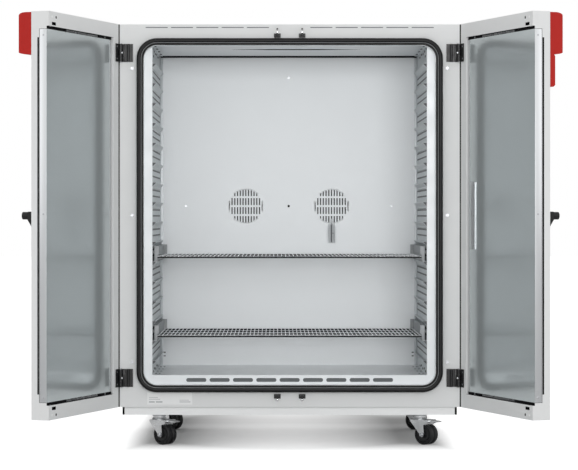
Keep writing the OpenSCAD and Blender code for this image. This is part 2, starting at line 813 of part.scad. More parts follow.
// Pedal with its pad just off the tread, drawn in the pose with the brake on
module brake_pedal() {
    barrel_r = pedal_pin_r + 2.5;
    half = leg_in - seat_gap;
    to_wheel = atan2(wheel_r - pedal_z, trail - pedal_t);
    pad_len = norm([wheel_r - pedal_z, trail - pedal_t]) - wheel_r - 0.4;
    difference() {
        union() {
            across(pedal_t, pedal_z, barrel_r, half);
            translate([pedal_t, 0, pedal_z]) rotate([0, -to_wheel, 0])
                box([0, pad_len], [-half + 1, half - 1], [-2, 2]);
            translate([pedal_t, 0, pedal_z]) rotate([0, 4, 0])
                box([2, pedal_tip - pedal_t], [-17, 17], [0, 3.5]);
        }
        across(pedal_t, pedal_z, pedal_pin_r + run_gap, half + 1);
    }
}

module left_brake_pedal() { color(zinc) at_swivel(-1, 0) brake_pedal(); }
module right_brake_pedal() { color(zinc) at_swivel(1, 0) brake_pedal(); }

latch_slot = [35, 11];

// Painted door pan: outer face, edges and the bands round the inner side
module door_shell() {
    difference() {
        box([door_edge_gap, door_u1], [0, door_t], [cabinet_z, door_z1]);
        box([door_edge_gap + sheet_t, door_u1 - sheet_t], [sheet_t, door_t - sheet_t],
            [cabinet_z + sheet_t, door_z1 - sheet_t]);
        box([door_edge_gap + door_hinge_band, door_u1 + 1], [-1, panel_step],
            [cabinet_z + door_band, door_z1 - door_band]);
        box([door_u1 - sheet_t - 2, door_u1 + 1], [-1, lock_edge_w], [panel_z0 - 1, panel_z1 + 1]);
        for (z = [striker_low_z, striker_top_z])
            translate([latch_u, 0, z]) cube([latch_slot[0], 9, latch_slot[1]], center = true);
        translate([latch_u - 16, -1, striker_top_z + 23]) rotate([-90, 0, 0]) cylinder(r = 3.5, h = 4);
        translate([latch_u, door_t - 5, door_mid_z]) rotate([-90, 0, 0]) cylinder(r = spindle_r + run_gap, h = 9);
    }
}

// Foam core with the channel of the latch rods
module door_core() {
    in = sheet_t;
    t = 1;
    difference() {
        union() {
            box([door_edge_gap + in, door_u1 - in], [core_w, door_t - in], [cabinet_z + in, door_z1 - in]);
            box([panel_u0 + t, panel_u1 - t], [panel_step + t, core_w + 1], [panel_z0 + t, panel_z1 - t]);
        }
        difference() {
            box([panel_u0 - seat_gap, panel_u1 + 5], [0, panel_w1 + seat_gap],
                [panel_z0 - seat_gap, panel_z1 + seat_gap]);
            box([panel_u0 + t, panel_u1 - t], [-1, panel_w1 + 1], [panel_z0 + t, panel_z1 - t]);
        }
        box([latch_u - channel_half, latch_u + channel_half], [0, channel_w1],
            [cabinet_z + 18, door_z1 - 18]);
        translate([latch_u, 0, door_mid_z]) rotate([-90, 0, 0]) cylinder(r = spindle_r + 1, h = door_t);
    }
}

// Stainless pan on the inner side of a door, with holes for the latch rods in its folds
module inner_panel() {
    t = 1;
    difference() {
        box([panel_u0, panel_u1], [panel_step, panel_w1], [panel_z0, panel_z1]);
        box([panel_u0 + t, panel_u1 - t], [panel_step + t, panel_w1 + 1], [panel_z0 + t, panel_z1 - t]);
        translate([latch_u, latch_w, 0]) cylinder(r = latch_rod / 2 + slide_gap, h = cabinet_top);
    }
}

// Door half of the two hinges of a door
module door_leaves() {
    leaf_u = 29;
    z0 = knuckle_h + knuckle_gap;
    color(dark) for (z = [hinge_low_z, hinge_top_z])
        translate([0, 0, z - hinge_h / 2]) difference() {
            union() {
                translate([0, -hinge_face, z0]) cylinder(r = knuckle_r, h = knuckle_h);
                box([-3, 5], [-hinge_face, 0], [z0, z0 + knuckle_h]);
                box([-3, leaf_u], [-3, 0], [z0, z0 + knuckle_h]);
                box([knuckle_r + 1, leaf_u], [-3, 0], [0, hinge_h]);
            }
            translate([0, -hinge_face, 0]) cylinder(r = hinge_pin_r + run_gap, h = hinge_h);
        }
}

// Side view of a fascia block: z upwards, w outwards, with both outer edges drawn in
module fascia_outline() {
    drop = 11;
    steps = 6;
    top = [for (k = [0:steps]) let (a = 90 * k / steps)
        [door_t + fascia_out * (0.45 + 0.55 * sin(a)) , fascia_z1 - drop * (1 - cos(a))]];
    low = [for (k = [steps:-1:0]) let (a = 90 * k / steps)
        [door_t + fascia_out * (0.2 + 0.8 * sin(a)) , fascia_z0 + 0.7 * drop * (1 - cos(a))]];
    polygon(concat([[door_t, fascia_z1]], top, low, [[door_t, fascia_z0]]));
}

module fascia() {
    along_x(fascia_u0, fascia_u1) fascia_outline();
}

module controller_block() {
    z0 = fascia_z0 - controller_h;
    w1 = door_t + controller_out;
    difference() {
        along_x(fascia_u0, fascia_u1) polygon([
            [door_t, z0], [w1 - 6, z0], [w1, z0 + 6], [w1, fascia_z0 - 6], [w1 - 4, fascia_z0], [w1 - 4, fascia_z0 + 1],
            [door_t, fascia_z0 + 1]
        ]);
        translate([button_u, w1 - 10, button_z]) rotate([-90, 0, 0]) cylinder(r = button_r + seat_gap, h = 20);
    }
}

// Wedge-shaped escutcheon that carries the door lever
module escutcheon() {
    z1 = door_mid_z + lever_h / 2 + 1;
    difference() {
        along_x(latch_u - 19, latch_u + 19) polygon([
            [door_t, z1 - 64], [door_t + 3, z1 - 64], [door_t + lever_w0 - 0.4, z1 - lever_h - 1],
            [door_t + lever_w0 - 0.4, z1 - 3], [door_t + lever_w0 - 3.4, z1], [door_t, z1]
        ]);
        translate([latch_u, door_t - 1, door_mid_z]) rotate([-90, 0, 0])
            cylinder(r = spindle_r + run_gap, h = door_t);
    }
}

// Lever: hub on the spindle and an arm that points to the hinge side while the latch is open
module lever() {
    w1 = door_t + lever_out;
    arm_w = door_t + lever_arm_w;
    translate([latch_u, 0, door_mid_z]) {
        translate([0, door_t + lever_w0, 0]) rotate([-90, 0, 0]) cylinder(r = lever_h / 2, h = lever_out - lever_w0);
        translate([0, arm_w, 0]) rotate([-90, 0, 0]) linear_extrude(height = w1 - arm_w) {
            polygon([[0, -lever_h / 2], [-lever_len + 9, -9], [-lever_len + 9, 9], [0, lever_h / 2]]);
            translate([-lever_len + 9, 0]) circle(r = 9);
        }
    }
}

function involute(rb, t) = rb * [cos(t) + t * PI / 180 * sin(t), sin(t) - t * PI / 180 * cos(t)];
function turned(p, a) = [p[0] * cos(a) - p[1] * sin(a), p[0] * sin(a) + p[1] * cos(a)];
function involute_at(rb, r) = sqrt(pow(r / rb, 2) - 1) * 180 / PI;

pressure = 20;
flank_steps = 5;

// Involute pinion with straight roots
module pinion_outline() {
    rb = pinion_r * cos(pressure);
    ra = pinion_r + pinion_m;
    rf = pinion_r - 1.25 * pinion_m;
    r0 = max(rb, rf);
    t_pitch = involute_at(rb, pinion_r);
    lead = t_pitch - pressure;
    half_tooth = 90 / pinion_teeth - tooth_play / 2 / pinion_r * 90 / PI;
    flank = [for (k = [0:flank_steps])
        let (r = r0 + (ra - r0) * k / flank_steps)
        turned(involute(rb, involute_at(rb, r)), -half_tooth - lead)];
    back = [for (k = [flank_steps:-1:0]) [flank[k][0], -flank[k][1]]];
    foot = [rf * cos(half_tooth + lead + 1), -rf * sin(half_tooth + lead + 1)];
    tooth = concat([foot], flank, back, [[foot[0], -foot[1]]]);
    polygon([for (n = [0:pinion_teeth - 1]) each [for (p = tooth) turned(p, n * 360 / pinion_teeth)]]);
}

// Rack teeth and bar beside the pinion; x is measured from the spindle, z runs from z0 to z1
module rack_outline(z0, z1) {
    add = pinion_m;
    ded = 1.25 * pinion_m;
    quarter = rack_pitch / 4 - tooth_play / 4;
    slope = tan(pressure);
    first = ceil(z0 / rack_pitch);
    last = floor(z1 / rack_pitch) - 1;
    translate([-pinion_r - ded - rack_bar, z0]) square([rack_bar, z1 - z0]);
    for (k = [first:last]) {
        mid = (k + 0.5) * rack_pitch;
        translate([-pinion_r, mid]) polygon([
            [-ded - 0.5, -quarter - ded * slope], [add, -quarter + add * slope],
            [add, quarter - add * slope], [-ded - 0.5, quarter + ded * slope]
        ]);
    }
}

// Spindle with the pinion of the door latch
module spindle() {
    translate([latch_u, 0, door_mid_z]) rotate([-90, 0, 0]) {
        translate([0, 0, latch_w - 5]) cylinder(r = spindle_r, h = door_t + lever_w0 - latch_w + 5);
        translate([0, 0, latch_w - 4]) linear_extrude(height = 8) pinion_outline();
    }
}

// Upper latch rod, with its rack on the side that rises as the lever is turned down
module latch_rod(tip_z) {
    teeth_up = pinion_r + 2;
    teeth_down = pinion_r + latch_travel + 4;
    jog_z = 42;
    bar_x = -pinion_r - 1.25 * pinion_m - rack_bar;
    translate([latch_u, latch_w, door_mid_z]) mirror([1, 0, 0]) {
        along_y(-4, 4) {
            rack_outline(-teeth_down, teeth_up);
            translate([bar_x, teeth_up - 1]) square([rack_bar, jog_z - teeth_up + 9]);
            translate([bar_x, jog_z]) square([latch_rod / 2 - bar_x, 8]);
        }
        translate([0, 0, jog_z + 4]) cylinder(r = latch_rod / 2, h = tip_z - door_mid_z - jog_z - 4);
    }
}

upper_tip_z = striker_top_z - striker_t / 2 - 4;
lower_tip_z = striker_low_z + striker_t / 2 + 4;

module upper_rod() {
    latch_rod(upper_tip_z);
}

// Turned over about the spindle axis, so that its rack meets the other side of the pinion
module lower_rod() {
    translate([latch_u, 0, door_mid_z]) rotate([0, 180, 0]) translate([-latch_u, 0, -door_mid_z])
        latch_rod(2 * door_mid_z - lower_tip_z);
}

module left_door_shell() { color(paint) on_door(-1) door_shell(); }
module left_door_core() { color(dark) on_door(-1) door_core(); }
module left_inner_panel() { color(stainless) on_door(-1) inner_panel(); }
module left_hinge_leaves() { on_door(-1) door_leaves(); }
module left_fascia() { color(red) on_door(-1) fascia(); }
module left_escutcheon() { color(dark) on_door(-1) escutcheon(); }
module left_lever() { color(dark) on_door(-1) lever(); }
module left_spindle() { color(zinc) on_door(-1) spindle(); }
module left_upper_rod() { color(zinc) on_door(-1) upper_rod(); }
module left_lower_rod() { color(zinc) on_door(-1) lower_rod(); }

module right_door_shell() { color(paint) on_door(1) door_shell(); }
module right_door_core() { color(dark) on_door(1) door_core(); }
module right_inner_panel() { color(stainless) on_door(1) inner_panel(); }
module right_hinge_leaves() { on_door(1) door_leaves(); }
module right_fascia() {
    color(red) on_door(1) {
        fascia();
        controller_block();
    }
}
module right_escutcheon() { color(dark) on_door(1) escutcheon(); }
module right_lever() { color(dark) on_door(1) lever(); }
module right_spindle() { color(zinc) on_door(1) spindle(); }
module right_upper_rod() { color(zinc) on_door(1) upper_rod(); }
module right_lower_rod() { color(zinc) on_door(1) lower_rod(); }

module display() {
    face = door_t + fascia_out;
    color(dark) on_door(1)
        box([button_u - 75, button_u + 75], [face, face + 1.5], [fascia_z0 + 22, fascia_z1 - 22]);
}

module power_button() {
    face = door_t + controller_out;
    color(paint) on_door(1) translate([button_u, face - 10 + button_travel + seat_gap, button_z])
        rotate([-90, 0, 0]) cylinder(r = button_r, h = 10 + 1);
}

// Stainless strip that covers the cable on the inner side of the right door
module cable_cover() {
    u0 = pivot_x - mouth_w / 2 + gasket_lip_w - 8;
    cover_w = 34;
    cover_t = 3.5;
    half_h = (panel_z1 - panel_z0) * 0.095;
    color(stainless) on_door(1)
        box([u0, u0 + cover_w], [panel_step - cover_t, panel_step], [door_mid_z - half_h, door_mid_z + half_h]);
}

// Wire shelf: rod frame, two cross rods under the wires, and the fine wires
module shelf() {
    r = shelf_rod / 2;
    wires = floor((shelf_half - r) / wire_pitch);
    color(stainless) on_cabinet() translate([0, shelf_y, shelf_lift]) {
        for (y = [r, shelf_d - r, shelf_d / 3, 2 * shelf_d / 3])
            translate([-shelf_half, y, r]) rotate([0, 90, 0])
            cylinder(r = y < shelf_d / 4 || y > shelf_d * 0.9 ? r : r * 0.8, h = 2 * shelf_half, $fn = 12);
        for (x = [-1, 1])
            translate([x * (shelf_half - r), 0, r]) rotate([-90, 0, 0])
            cylinder(r = r, h = shelf_d, $fn = 12);
        for (k = [-wires + 1:wires - 1])
            translate([k * wire_pitch, 0.5, shelf_rod]) rotate([-90, 0, 0])
            cylinder(r = shelf_wire / 2, h = shelf_d - 1, $fn = 8);
    }
}

module upper_shelf() { translate([0, 0, rail_top - upper_rail * rail_pitch]) shelf(); }
module lower_shelf() { translate([0, 0, rail_top - lower_rail * rail_pitch]) shelf(); }

// Radial fan wheel with a shroud ring, curved blades, a back disc and its shaft
module fan_wheel() {
    depth = 24;
    inner_r = fan_r / 2;
    curve_r = fan_r * 0.75;
    color(zinc) on_cabinet() translate([0, rear_baffle_y + 8, fan_z]) rotate([-90, 0, 0]) {
        for (k = [0:fan_blades - 1]) rotate([0, 0, 360 * k / fan_blades])
            linear_extrude(height = depth) intersection() {
                difference() {
                    circle(r = fan_r - 1);
                    circle(r = inner_r);
                }
                translate([inner_r - 4, curve_r]) difference() {
                    circle(r = curve_r);
                    circle(r = curve_r - 1.6);
                }
                translate([0, -fan_r / 2]) square([fan_r, fan_r * 1.2]);
            }
        difference() {
            cylinder(r = fan_r, h = 2);
            translate([0, 0, -1]) cylinder(r = fan_r - 6, h = 4);
        }
        translate([0, 0, depth]) cylinder(r = fan_r, h = 2);
        translate([0, 0, depth - 12]) cylinder(r = 13, h = 16);
        translate([0, 0, depth]) cylinder(r = shaft_r, h = liner_back + steel_t + 26 - rear_baffle_y - 8 - depth);
    }
}

module left_fan_wheel() { translate([-fan_gap / 2, 0, 0]) fan_wheel(); }
module right_fan_wheel() { translate([fan_gap / 2, 0, 0]) fan_wheel(); }

outer_housing();
rear_panel();
front_frame();
base_plinth();
door_gasket();
front_collar();
inner_chamber();
left_air_baffle();
right_air_baffle();
rear_air_baffle();
insulation();
fan_motors();
heater_coils();
temperature_probe();
probe_guard();
door_strikers();
hinge_frame_leaves();
hinge_pins();
panel_screws();
shelf_carriers();
power_inlet();
exhaust_spigot();
caster_mounts();
left_door_shell();
left_door_core();
left_inner_panel();
left_hinge_leaves();
left_fascia();
left_escutcheon();
left_lever();
left_spindle();
left_upper_rod();
left_lower_rod();
right_door_shell();
right_door_core();
right_inner_panel();
right_hinge_leaves();
right_fascia();
right_escutcheon();
right_lever();
right_spindle();
right_upper_rod();
right_lower_rod();
display();
power_button();
cable_cover();
upper_shelf();
lower_shelf();
left_fan_wheel();
right_fan_wheel();
front_left_fork();
front_right_fork();
rear_left_fork();
rear_right_fork();
front_left_wheels();
front_right_wheels();
rear_left_wheels();
rear_right_wheels();
left_brake_pedal();
right_brake_pedal();
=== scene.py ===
import json
import math

import bmesh
import bpy
from mathutils import Matrix, Vector


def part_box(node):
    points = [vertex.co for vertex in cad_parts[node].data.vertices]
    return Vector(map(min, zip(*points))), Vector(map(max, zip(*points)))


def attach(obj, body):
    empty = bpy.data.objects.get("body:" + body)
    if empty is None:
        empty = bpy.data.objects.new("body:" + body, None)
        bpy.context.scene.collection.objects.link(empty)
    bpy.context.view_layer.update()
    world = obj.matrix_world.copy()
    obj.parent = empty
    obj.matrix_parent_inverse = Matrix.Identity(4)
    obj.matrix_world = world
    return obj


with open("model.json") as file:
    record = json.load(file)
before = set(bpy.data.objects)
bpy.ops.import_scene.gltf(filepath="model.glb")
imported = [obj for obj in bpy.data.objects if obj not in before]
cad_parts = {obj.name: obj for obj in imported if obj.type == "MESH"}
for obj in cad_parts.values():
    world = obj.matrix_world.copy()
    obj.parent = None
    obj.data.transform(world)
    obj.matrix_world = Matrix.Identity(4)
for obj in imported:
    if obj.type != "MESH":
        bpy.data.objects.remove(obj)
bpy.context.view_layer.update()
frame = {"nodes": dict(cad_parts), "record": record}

scene = bpy.context.scene
MM = 0.001
SIDES = (-1, 1)

# Sizes of the CAD model in millimetres: x runs from the middle of the cabinet, y back from the
# front of its frame, z up from the floor. On a door, u runs from the hinge to the lock edge and
# w out from the inner face.
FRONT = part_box("front_frame")[0][1] / MM
CABINET_D = 735.0
CABINET_Z = 139.0
CABINET_TOP = 1528.0
MOUTH_HALF = 531.0
MOUTH_Z0 = 217.7
MOUTH_Z1 = 1453.0
MOUTH_R = 50.0
CHAMBER_HALF = 500.0
CHAMBER_Z = 253.0
CHAMBER_TOP = 1453.0
BACK_Y = 640.0
FAN_Z = 871.0
RAIL_TOP = 1389.0
RAIL_PITCH = 72.3
RAIL_COUNT = 16
RAIL_Y = 44.0
SHELF_RAILS = {"upper_shelf": 10, "lower_shelf": 14}
SPIGOT = (-308.5, 1393)

PIVOT_X = 613.0
PIVOT_OUT = 12.0
HINGE_FACE = 8.0
OPEN = math.radians(109)
HINGES_Z = (1424.0, 245.0)
DOOR_T = 65.0
DOOR_EDGE = 1.0
DOOR_U1 = 611.0
DOOR_BAND = 50.5
HINGE_BAND = 46.0
GROOVE = 10.0
PANEL_STEP = 8.5
LATCH_U = 568.0
MID_Z = 833.5
STRIKER_X = 45
STRIKER_TOP = 1487.0
STRIKER_LOW = 178.0
FASCIA_U = (279.0, 609.0)
FASCIA_Z = (1382.0, 1526.0)
FASCIA_W = 113.0
BLOCK_W = 85.0
BUTTON_U = 444.0
BUTTON_Z = 1327.0

CASTER_TURN = math.radians(-37)
CASTERS = {
    "front_left": (-476.0, 55.0),
    "front_right": (476.0, 55.0),
    "rear_left": (-476.0, 675.0),
    "rear_right": (476.0, 675.0),
}
TRAIL = 28.0
WHEEL_R = 37.5


# Materials
def new_material(name):
    mat = bpy.data.materials.new(name)
    mat.use_nodes = True
    tree = mat.node_tree
    tree.nodes.clear()
    out = tree.nodes.new("ShaderNodeOutputMaterial")
    shader = tree.nodes.new("ShaderNodeBsdfPrincipled")
    tree.links.new(shader.outputs["BSDF"], out.inputs["Surface"])
    return mat, tree, shader


def coords(tree, scale=(1.0, 1.0, 1.0)):
    where = tree.nodes.new("ShaderNodeTexCoord")
    mapping = tree.nodes.new("ShaderNodeMapping")
    mapping.inputs["Scale"].default_value = scale
    tree.links.new(where.outputs["Object"], mapping.inputs["Vector"])
    return mapping.outputs["Vector"]


def split_xyz(tree, vector):
    apart = tree.nodes.new("ShaderNodeSeparateXYZ")
    tree.links.new(vector, apart.inputs["Vector"])
    return apart.outputs


def noise(tree, vector, scale, detail=3.0, rough=0.5):
    node = tree.nodes.new("ShaderNodeTexNoise")
    node.inputs["Scale"].default_value = scale
    node.inputs["Detail"].default_value = detail
    node.inputs["Roughness"].default_value = rough
    tree.links.new(vector, node.inputs["Vector"])
    return node.outputs["Fac"]


def maths(tree, operation, a, b=None, clamp=False):
    node = tree.nodes.new("ShaderNodeMath")
    node.operation = operation
    node.use_clamp = clamp
    tree.links.new(a, node.inputs[0])
    if b is not None:
        tree.links.new(b, node.inputs[1])
    return node.outputs[0]


def span(tree, value, low, high, at=(0.3, 0.7), kind="LINEAR"):
    """Maps a value between the two limits in at to low and high."""
    node = tree.nodes.new("ShaderNodeMapRange")
    node.interpolation_type = kind
    node.inputs["From Min"].default_value = at[0]
    node.inputs["From Max"].default_value = at[1]
    node.inputs["To Min"].default_value = low
    node.inputs["To Max"].default_value = high
    tree.links.new(value, node.inputs["Value"])
    return node.outputs["Result"]


def blend_colours(tree, fac, a, b):
    node = tree.nodes.new("ShaderNodeMix")
    node.data_type = "RGBA"
    node.inputs["A"].default_value = (*a, 1)
    node.inputs["B"].default_value = (*b, 1)
    tree.links.new(fac, node.inputs["Factor"])
    return node.outputs["Result"]


def set_colour(tree, shader, fac, a, b):
    tree.links.new(blend_colours(tree, fac, a, b), shader.inputs["Base Color"])


def set_roughness(tree, shader, fac, low, high):
    tree.links.new(span(tree, fac, low, high), shader.inputs["Roughness"])


def bump(tree, shader, height, strength, distance=0.0003):
    node = tree.nodes.new("ShaderNodeBump")
    node.inputs["Strength"].default_value = strength
    node.inputs["Distance"].default_value = distance
    tree.links.new(height, node.inputs["Height"])
    tree.links.new(node.outputs["Normal"], shader.inputs["Normal"])


def shade(colour, factor):
    return tuple(min(1.0, c * factor) for c in colour)


def painted(name, colour, rough=0.42, peel=0.12):
    """Powder coat: fine orange peel, faint cloudiness of colour and gloss."""
    mat, tree, shader = new_material(name)
    at = coords(tree)
    set_colour(tree, shader, noise(tree, at, 3.5, 4.0), shade(colour, 0.975), shade(colour, 1.02))
    set_roughness(tree, shader, noise(tree, at, 40.0), rough - 0.05, rough + 0.06)
    bump(tree, shader, noise(tree, at, 900.0, 2.0), peel, 0.0004)
    return mat


def steel(name, colour, rough, grain, depth=0.05, metallic=1.0, coat=0.0, spread=1.0):
    """Rolled stainless sheet with a fine grain along one direction and soft clouds."""
    mat, tree, shader = new_material(name)
    shader.inputs["Metallic"].default_value = metallic
    shader.inputs["Coat Weight"].default_value = coat
    shader.inputs["Coat Roughness"].default_value = 0.05
    lines = noise(tree, coords(tree, grain), 18.0, 4.0, 0.6)
    cloud = noise(tree, coords(tree), 2.2, 3.0)
    set_colour(tree, shader, cloud, shade(colour, 0.965), shade(colour, 1.03))
    set_roughness(tree, shader, lines, rough - 0.05 * spread, rough + 0.07 * spread)
    bump(tree, shader, lines, depth)
    return mat


def plastic(name, colour, rough=0.4, grain=0.15, scale=1400.0, wear=0.03, gloss=0.5):
    """Moulded plastic with a fine spark-eroded grain."""
    mat, tree, shader = new_material(name)
    shader.inputs["Specular IOR Level"].default_value = gloss
    at = coords(tree)
    cloud = noise(tree, at, 9.0, 3.0)
    set_colour(tree, shader, cloud, shade(colour, 1 - wear), shade(colour, 1 + wear))
    set_roughness(tree, shader, noise(tree, at, 60.0), rough - 0.05, rough + 0.08)
    bump(tree, shader, noise(tree, at, scale, 2.0), grain)
    return mat


def rubber(name, colour, rough=0.6, gloss=0.28):
    """Silicone and tyre rubber, dusty in places."""
    mat, tree, shader = new_material(name)
    shader.inputs["Specular IOR Level"].default_value = gloss
    at = coords(tree)
    dust = noise(tree, at, 25.0, 5.0, 0.65)
    set_colour(tree, shader, dust, shade(colour, 0.75), shade(colour, 1.6))
    set_roughness(tree, shader, dust, rough - 0.08, rough + 0.12)
    bump(tree, shader, noise(tree, at, 700.0, 3.0), 0.2)
    return mat


def zinc(name, colour, rough=0.34):
    """Plated pressings with cloudy gloss and small cells."""
    mat, tree, shader = new_material(name)
    shader.inputs["Metallic"].default_value = 1.0
    at = coords(tree)
    cells = tree.nodes.new("ShaderNodeTexVoronoi")
    cells.inputs["Scale"].default_value = 120.0
    tree.links.new(at, cells.inputs["Vector"])
    cloud = noise(tree, at, 35.0, 5.0, 0.6)
    set_colour(tree, shader, cloud, shade(colour, 0.82), shade(colour, 1.12))
    set_roughness(tree, shader, cloud, rough - 0.1, rough + 0.12)
    bump(tree, shader, cells.outputs["Distance"], 0.08)
    return mat


def shelf_steel(name, base_z, wire, rod):
    """Bright fine wires on rods painted near black as shade, told apart by their height above the
    shelf's underside.
    """
    mat, tree, shader = new_material(name)
    shader.inputs["Specular IOR Level"].default_value = 0.2
    at = coords(tree)
    rod_top = ((base_z + 6.3) * MM, (base_z + 7.2) * MM)
    height = span(tree, split_xyz(tree, at)["Z"], 0.0, 1.0, rod_top)
    tree.links.new(span(tree, height, 0.0, 0.8, (0.0, 1.0)), shader.inputs["Metallic"])
    set_colour(tree, shader, height, rod, wire)
    set_roughness(tree, shader, noise(tree, at, 60.0), 0.22, 0.36)
    bump(tree, shader, noise(tree, at, 500.0), 0.05, 0.0002)
    return mat


def glass_dark(name):
    """Dark display glass with faint smears."""
    mat, tree, shader = new_material(name)
    smear = noise(tree, coords(tree), 14.0, 4.0)
    set_colour(tree, shader, smear, (0.012, 0.014, 0.018), (0.022, 0.025, 0.03))
    set_roughness(tree, shader, smear, 0.06, 0.16)
    return mat


# Grain of sheet steel: the noise is squeezed along the axis with the large factor
SQUEEZE_X = (60.0, 1.0, 1.0)
SQUEEZE_Y = (1.0, 60.0, 1.0)
SQUEEZE_Z = (1.0, 1.0, 60.0)
NO_GRAIN = (1.0, 1.0, 1.0)

PAINT = painted("light_grey_paint", (0.82, 0.83, 0.83))
# Lighter copy of the light grey paint, on the plinth and the latch plugs: painted light, as the
# plinth gets more light from the floor
PAINT_LIT = painted("light_grey_paint_lit_copy", (0.97, 0.98, 0.98))
# Copies of one chamber stainless, each with colour and metalness set to the brightness its surface
# shows: painted light and shade, the side walls' copy being the shaded one
STEEL_BACK = steel("stainless_back", (0.80, 0.825, 0.84), 0.45, SQUEEZE_X, metallic=0.3)
STEEL_SIDE_SHADED = steel("stainless_side_shaded", (0.63, 0.66, 0.675), 0.40, SQUEEZE_Z, metallic=0.5)
STEEL_LINER = steel("stainless_liner", (0.90, 0.92, 0.93), 0.34, SQUEEZE_X, metallic=0.5)
STEEL_COLLAR = steel("stainless_collar", (0.80, 0.825, 0.84), 0.45, SQUEEZE_Y, metallic=0.3)
STEEL_PANEL = steel("stainless_door_panel", (0.58, 0.63, 0.64), 0.15, (50.0, 50.0, 1.0),
                    depth=0.001, metallic=0.5, coat=0.15, spread=0.2)
STEEL_TRIM = steel("stainless_trim", (0.66, 0.675, 0.69), 0.35, SQUEEZE_Z)
# Near-black steel: painted shade in the rail ends, the side air slots and the slit of the probe
# guard
STEEL_SHADE = steel("stainless_painted_shade", (0.10, 0.105, 0.11), 0.5, (1.0, 1.0, 8.0), metallic=0.4)
STEEL_GUARD = steel("stainless_guard", (0.66, 0.685, 0.70), 0.5, SQUEEZE_X, metallic=0.2)
CARRIER = steel("carrier_steel", (0.36, 0.375, 0.385), 0.5, SQUEEZE_Y, metallic=0.25)
# Fan wheels and heater coils darkened: painted shade behind the grilles
FAN = steel("fan_steel_painted_shade", (0.11, 0.113, 0.117), 0.4, NO_GRAIN, depth=0.1, metallic=0.4)
ZINC = zinc("zinc_plate", (0.50, 0.51, 0.53))
CHROME = zinc("bright_plate", (0.72, 0.73, 0.74), 0.2)
BLACK_METAL = plastic("black_coated_casting", (0.009, 0.009, 0.010), 0.33, 0.2, 500.0, gloss=0.45)
BLACK = plastic("black_plastic", (0.011, 0.011, 0.012), 0.42, gloss=0.3)
RED = plastic("red_plastic", (0.49, 0.016, 0.011), 0.45, 0.06, 900.0, gloss=0.25)
# Darker copy of the red plastic: painted shade in the groove and round the fascia's edge
RED_SHADE = plastic("red_plastic_painted_shade", (0.30, 0.012, 0.010), 0.5, gloss=0.25)
GREY_BUTTON = plastic("grey_plastic", (0.55, 0.56, 0.57), 0.4)
# Dark grey for the insulation seen through the sill slots: painted shade
INSULATION_SHADE = plastic("insulation_painted_shade", (0.13, 0.14, 0.145), 0.6, 0.3, 250.0)
# Near black of openings, gaps and grooves: painted shade
VOID = plastic("shadowed_opening", (0.004, 0.004, 0.005), 0.8, 0.1, 300.0, gloss=0.1)
STICKER = plastic("bare_label_film", (0.95, 0.96, 0.96), 0.35, 0.03)
STICKER_GREY = plastic("label_film_grey", (0.50, 0.51, 0.52), 0.4, 0.03)
SCREEN = glass_dark("display_glass")
RUBBER = rubber("black_silicone", (0.005, 0.005, 0.0055), 0.40)
# Grey silicone of the gasket's bead: painted highlight along its lip
RUBBER_HIGHLIGHT = rubber("silicone_painted_highlight", (0.30, 0.31, 0.315), 0.45)
# Lighter glossy silicone: painted reflection in the door grooves
SEAL_PAINTED_REFLECTION = rubber("shiny_silicone_painted_reflection", (0.06, 0.062, 0.065), 0.25, 0.7)
TYRE = rubber("caster_tyre", (0.009, 0.009, 0.010), 0.5)

SHELF_BASE = 12
SHELF_WIRE = (0.82, 0.84, 0.85)
# Rods under the wires painted near black: painted shade
SHELF_ROD_SHADE = (0.035, 0.037, 0.039)
SHELF_STEEL = {
    key: shelf_steel(
        f"{key}_steel", RAIL_TOP - rail * RAIL_PITCH + SHELF_BASE, SHELF_WIRE, SHELF_ROD_SHADE)
    for key, rail in SHELF_RAILS.items()
}

# Every node takes the material of its slot, unless it is named below
SLOT_MATERIAL = {
    "grey_paint": PAINT,
    "stainless_steel": STEEL_LINER,
    "zinc_plate": ZINC,
    "black_casting": BLACK_METAL,
    "black_plastic": BLACK,
    "red_plastic": RED,
    "display_glass": SCREEN,
    "button_plastic": GREY_BUTTON,
    "gasket_rubber": RUBBER,
    "caster_tyre": TYRE,
}
NODE_MATERIAL = {
    "rear_air_baffle": STEEL_BACK,
    "left_air_baffle": STEEL_SIDE_SHADED,
    "right_air_baffle": STEEL_SIDE_SHADED,
    "front_collar": STEEL_COLLAR,
    "left_inner_panel": STEEL_PANEL,
    "right_inner_panel": STEEL_PANEL,
    "cable_cover": STEEL_TRIM,
    "base_plinth": PAINT_LIT,
    # The door cores show only down in grooves, so they take the painted shade
    "left_door_core": VOID,
    "right_door_core": VOID,
    "insulation": INSULATION_SHADE,
    "probe_guard": STEEL_GUARD,
    "shelf_carriers": CARRIER,
    "left_fan_wheel": FAN,
    "right_fan_wheel": FAN,
    "heater_coils": FAN,
    "left_brake_pedal": CHROME,
    "right_brake_pedal": CHROME,
    **{f"{key}_fork": CHROME for key in CASTERS},
    **SHELF_STEEL,
}
for part in frame["record"]["subparts"]:
    node = frame["nodes"][part["node"]]
    material = NODE_MATERIAL.get(part["node"]) or SLOT_MATERIAL[part["material_slot"]]
    if node.material_slots:
        for held in node.material_slots:
            held.material = material
    else:
        node.data.materials.append(material)


# Shapes
SHARP_ANGLE = math.radians(35.0)
FORWARD = (0, -1, 0)
BACKWARD = (0, 1, 0)


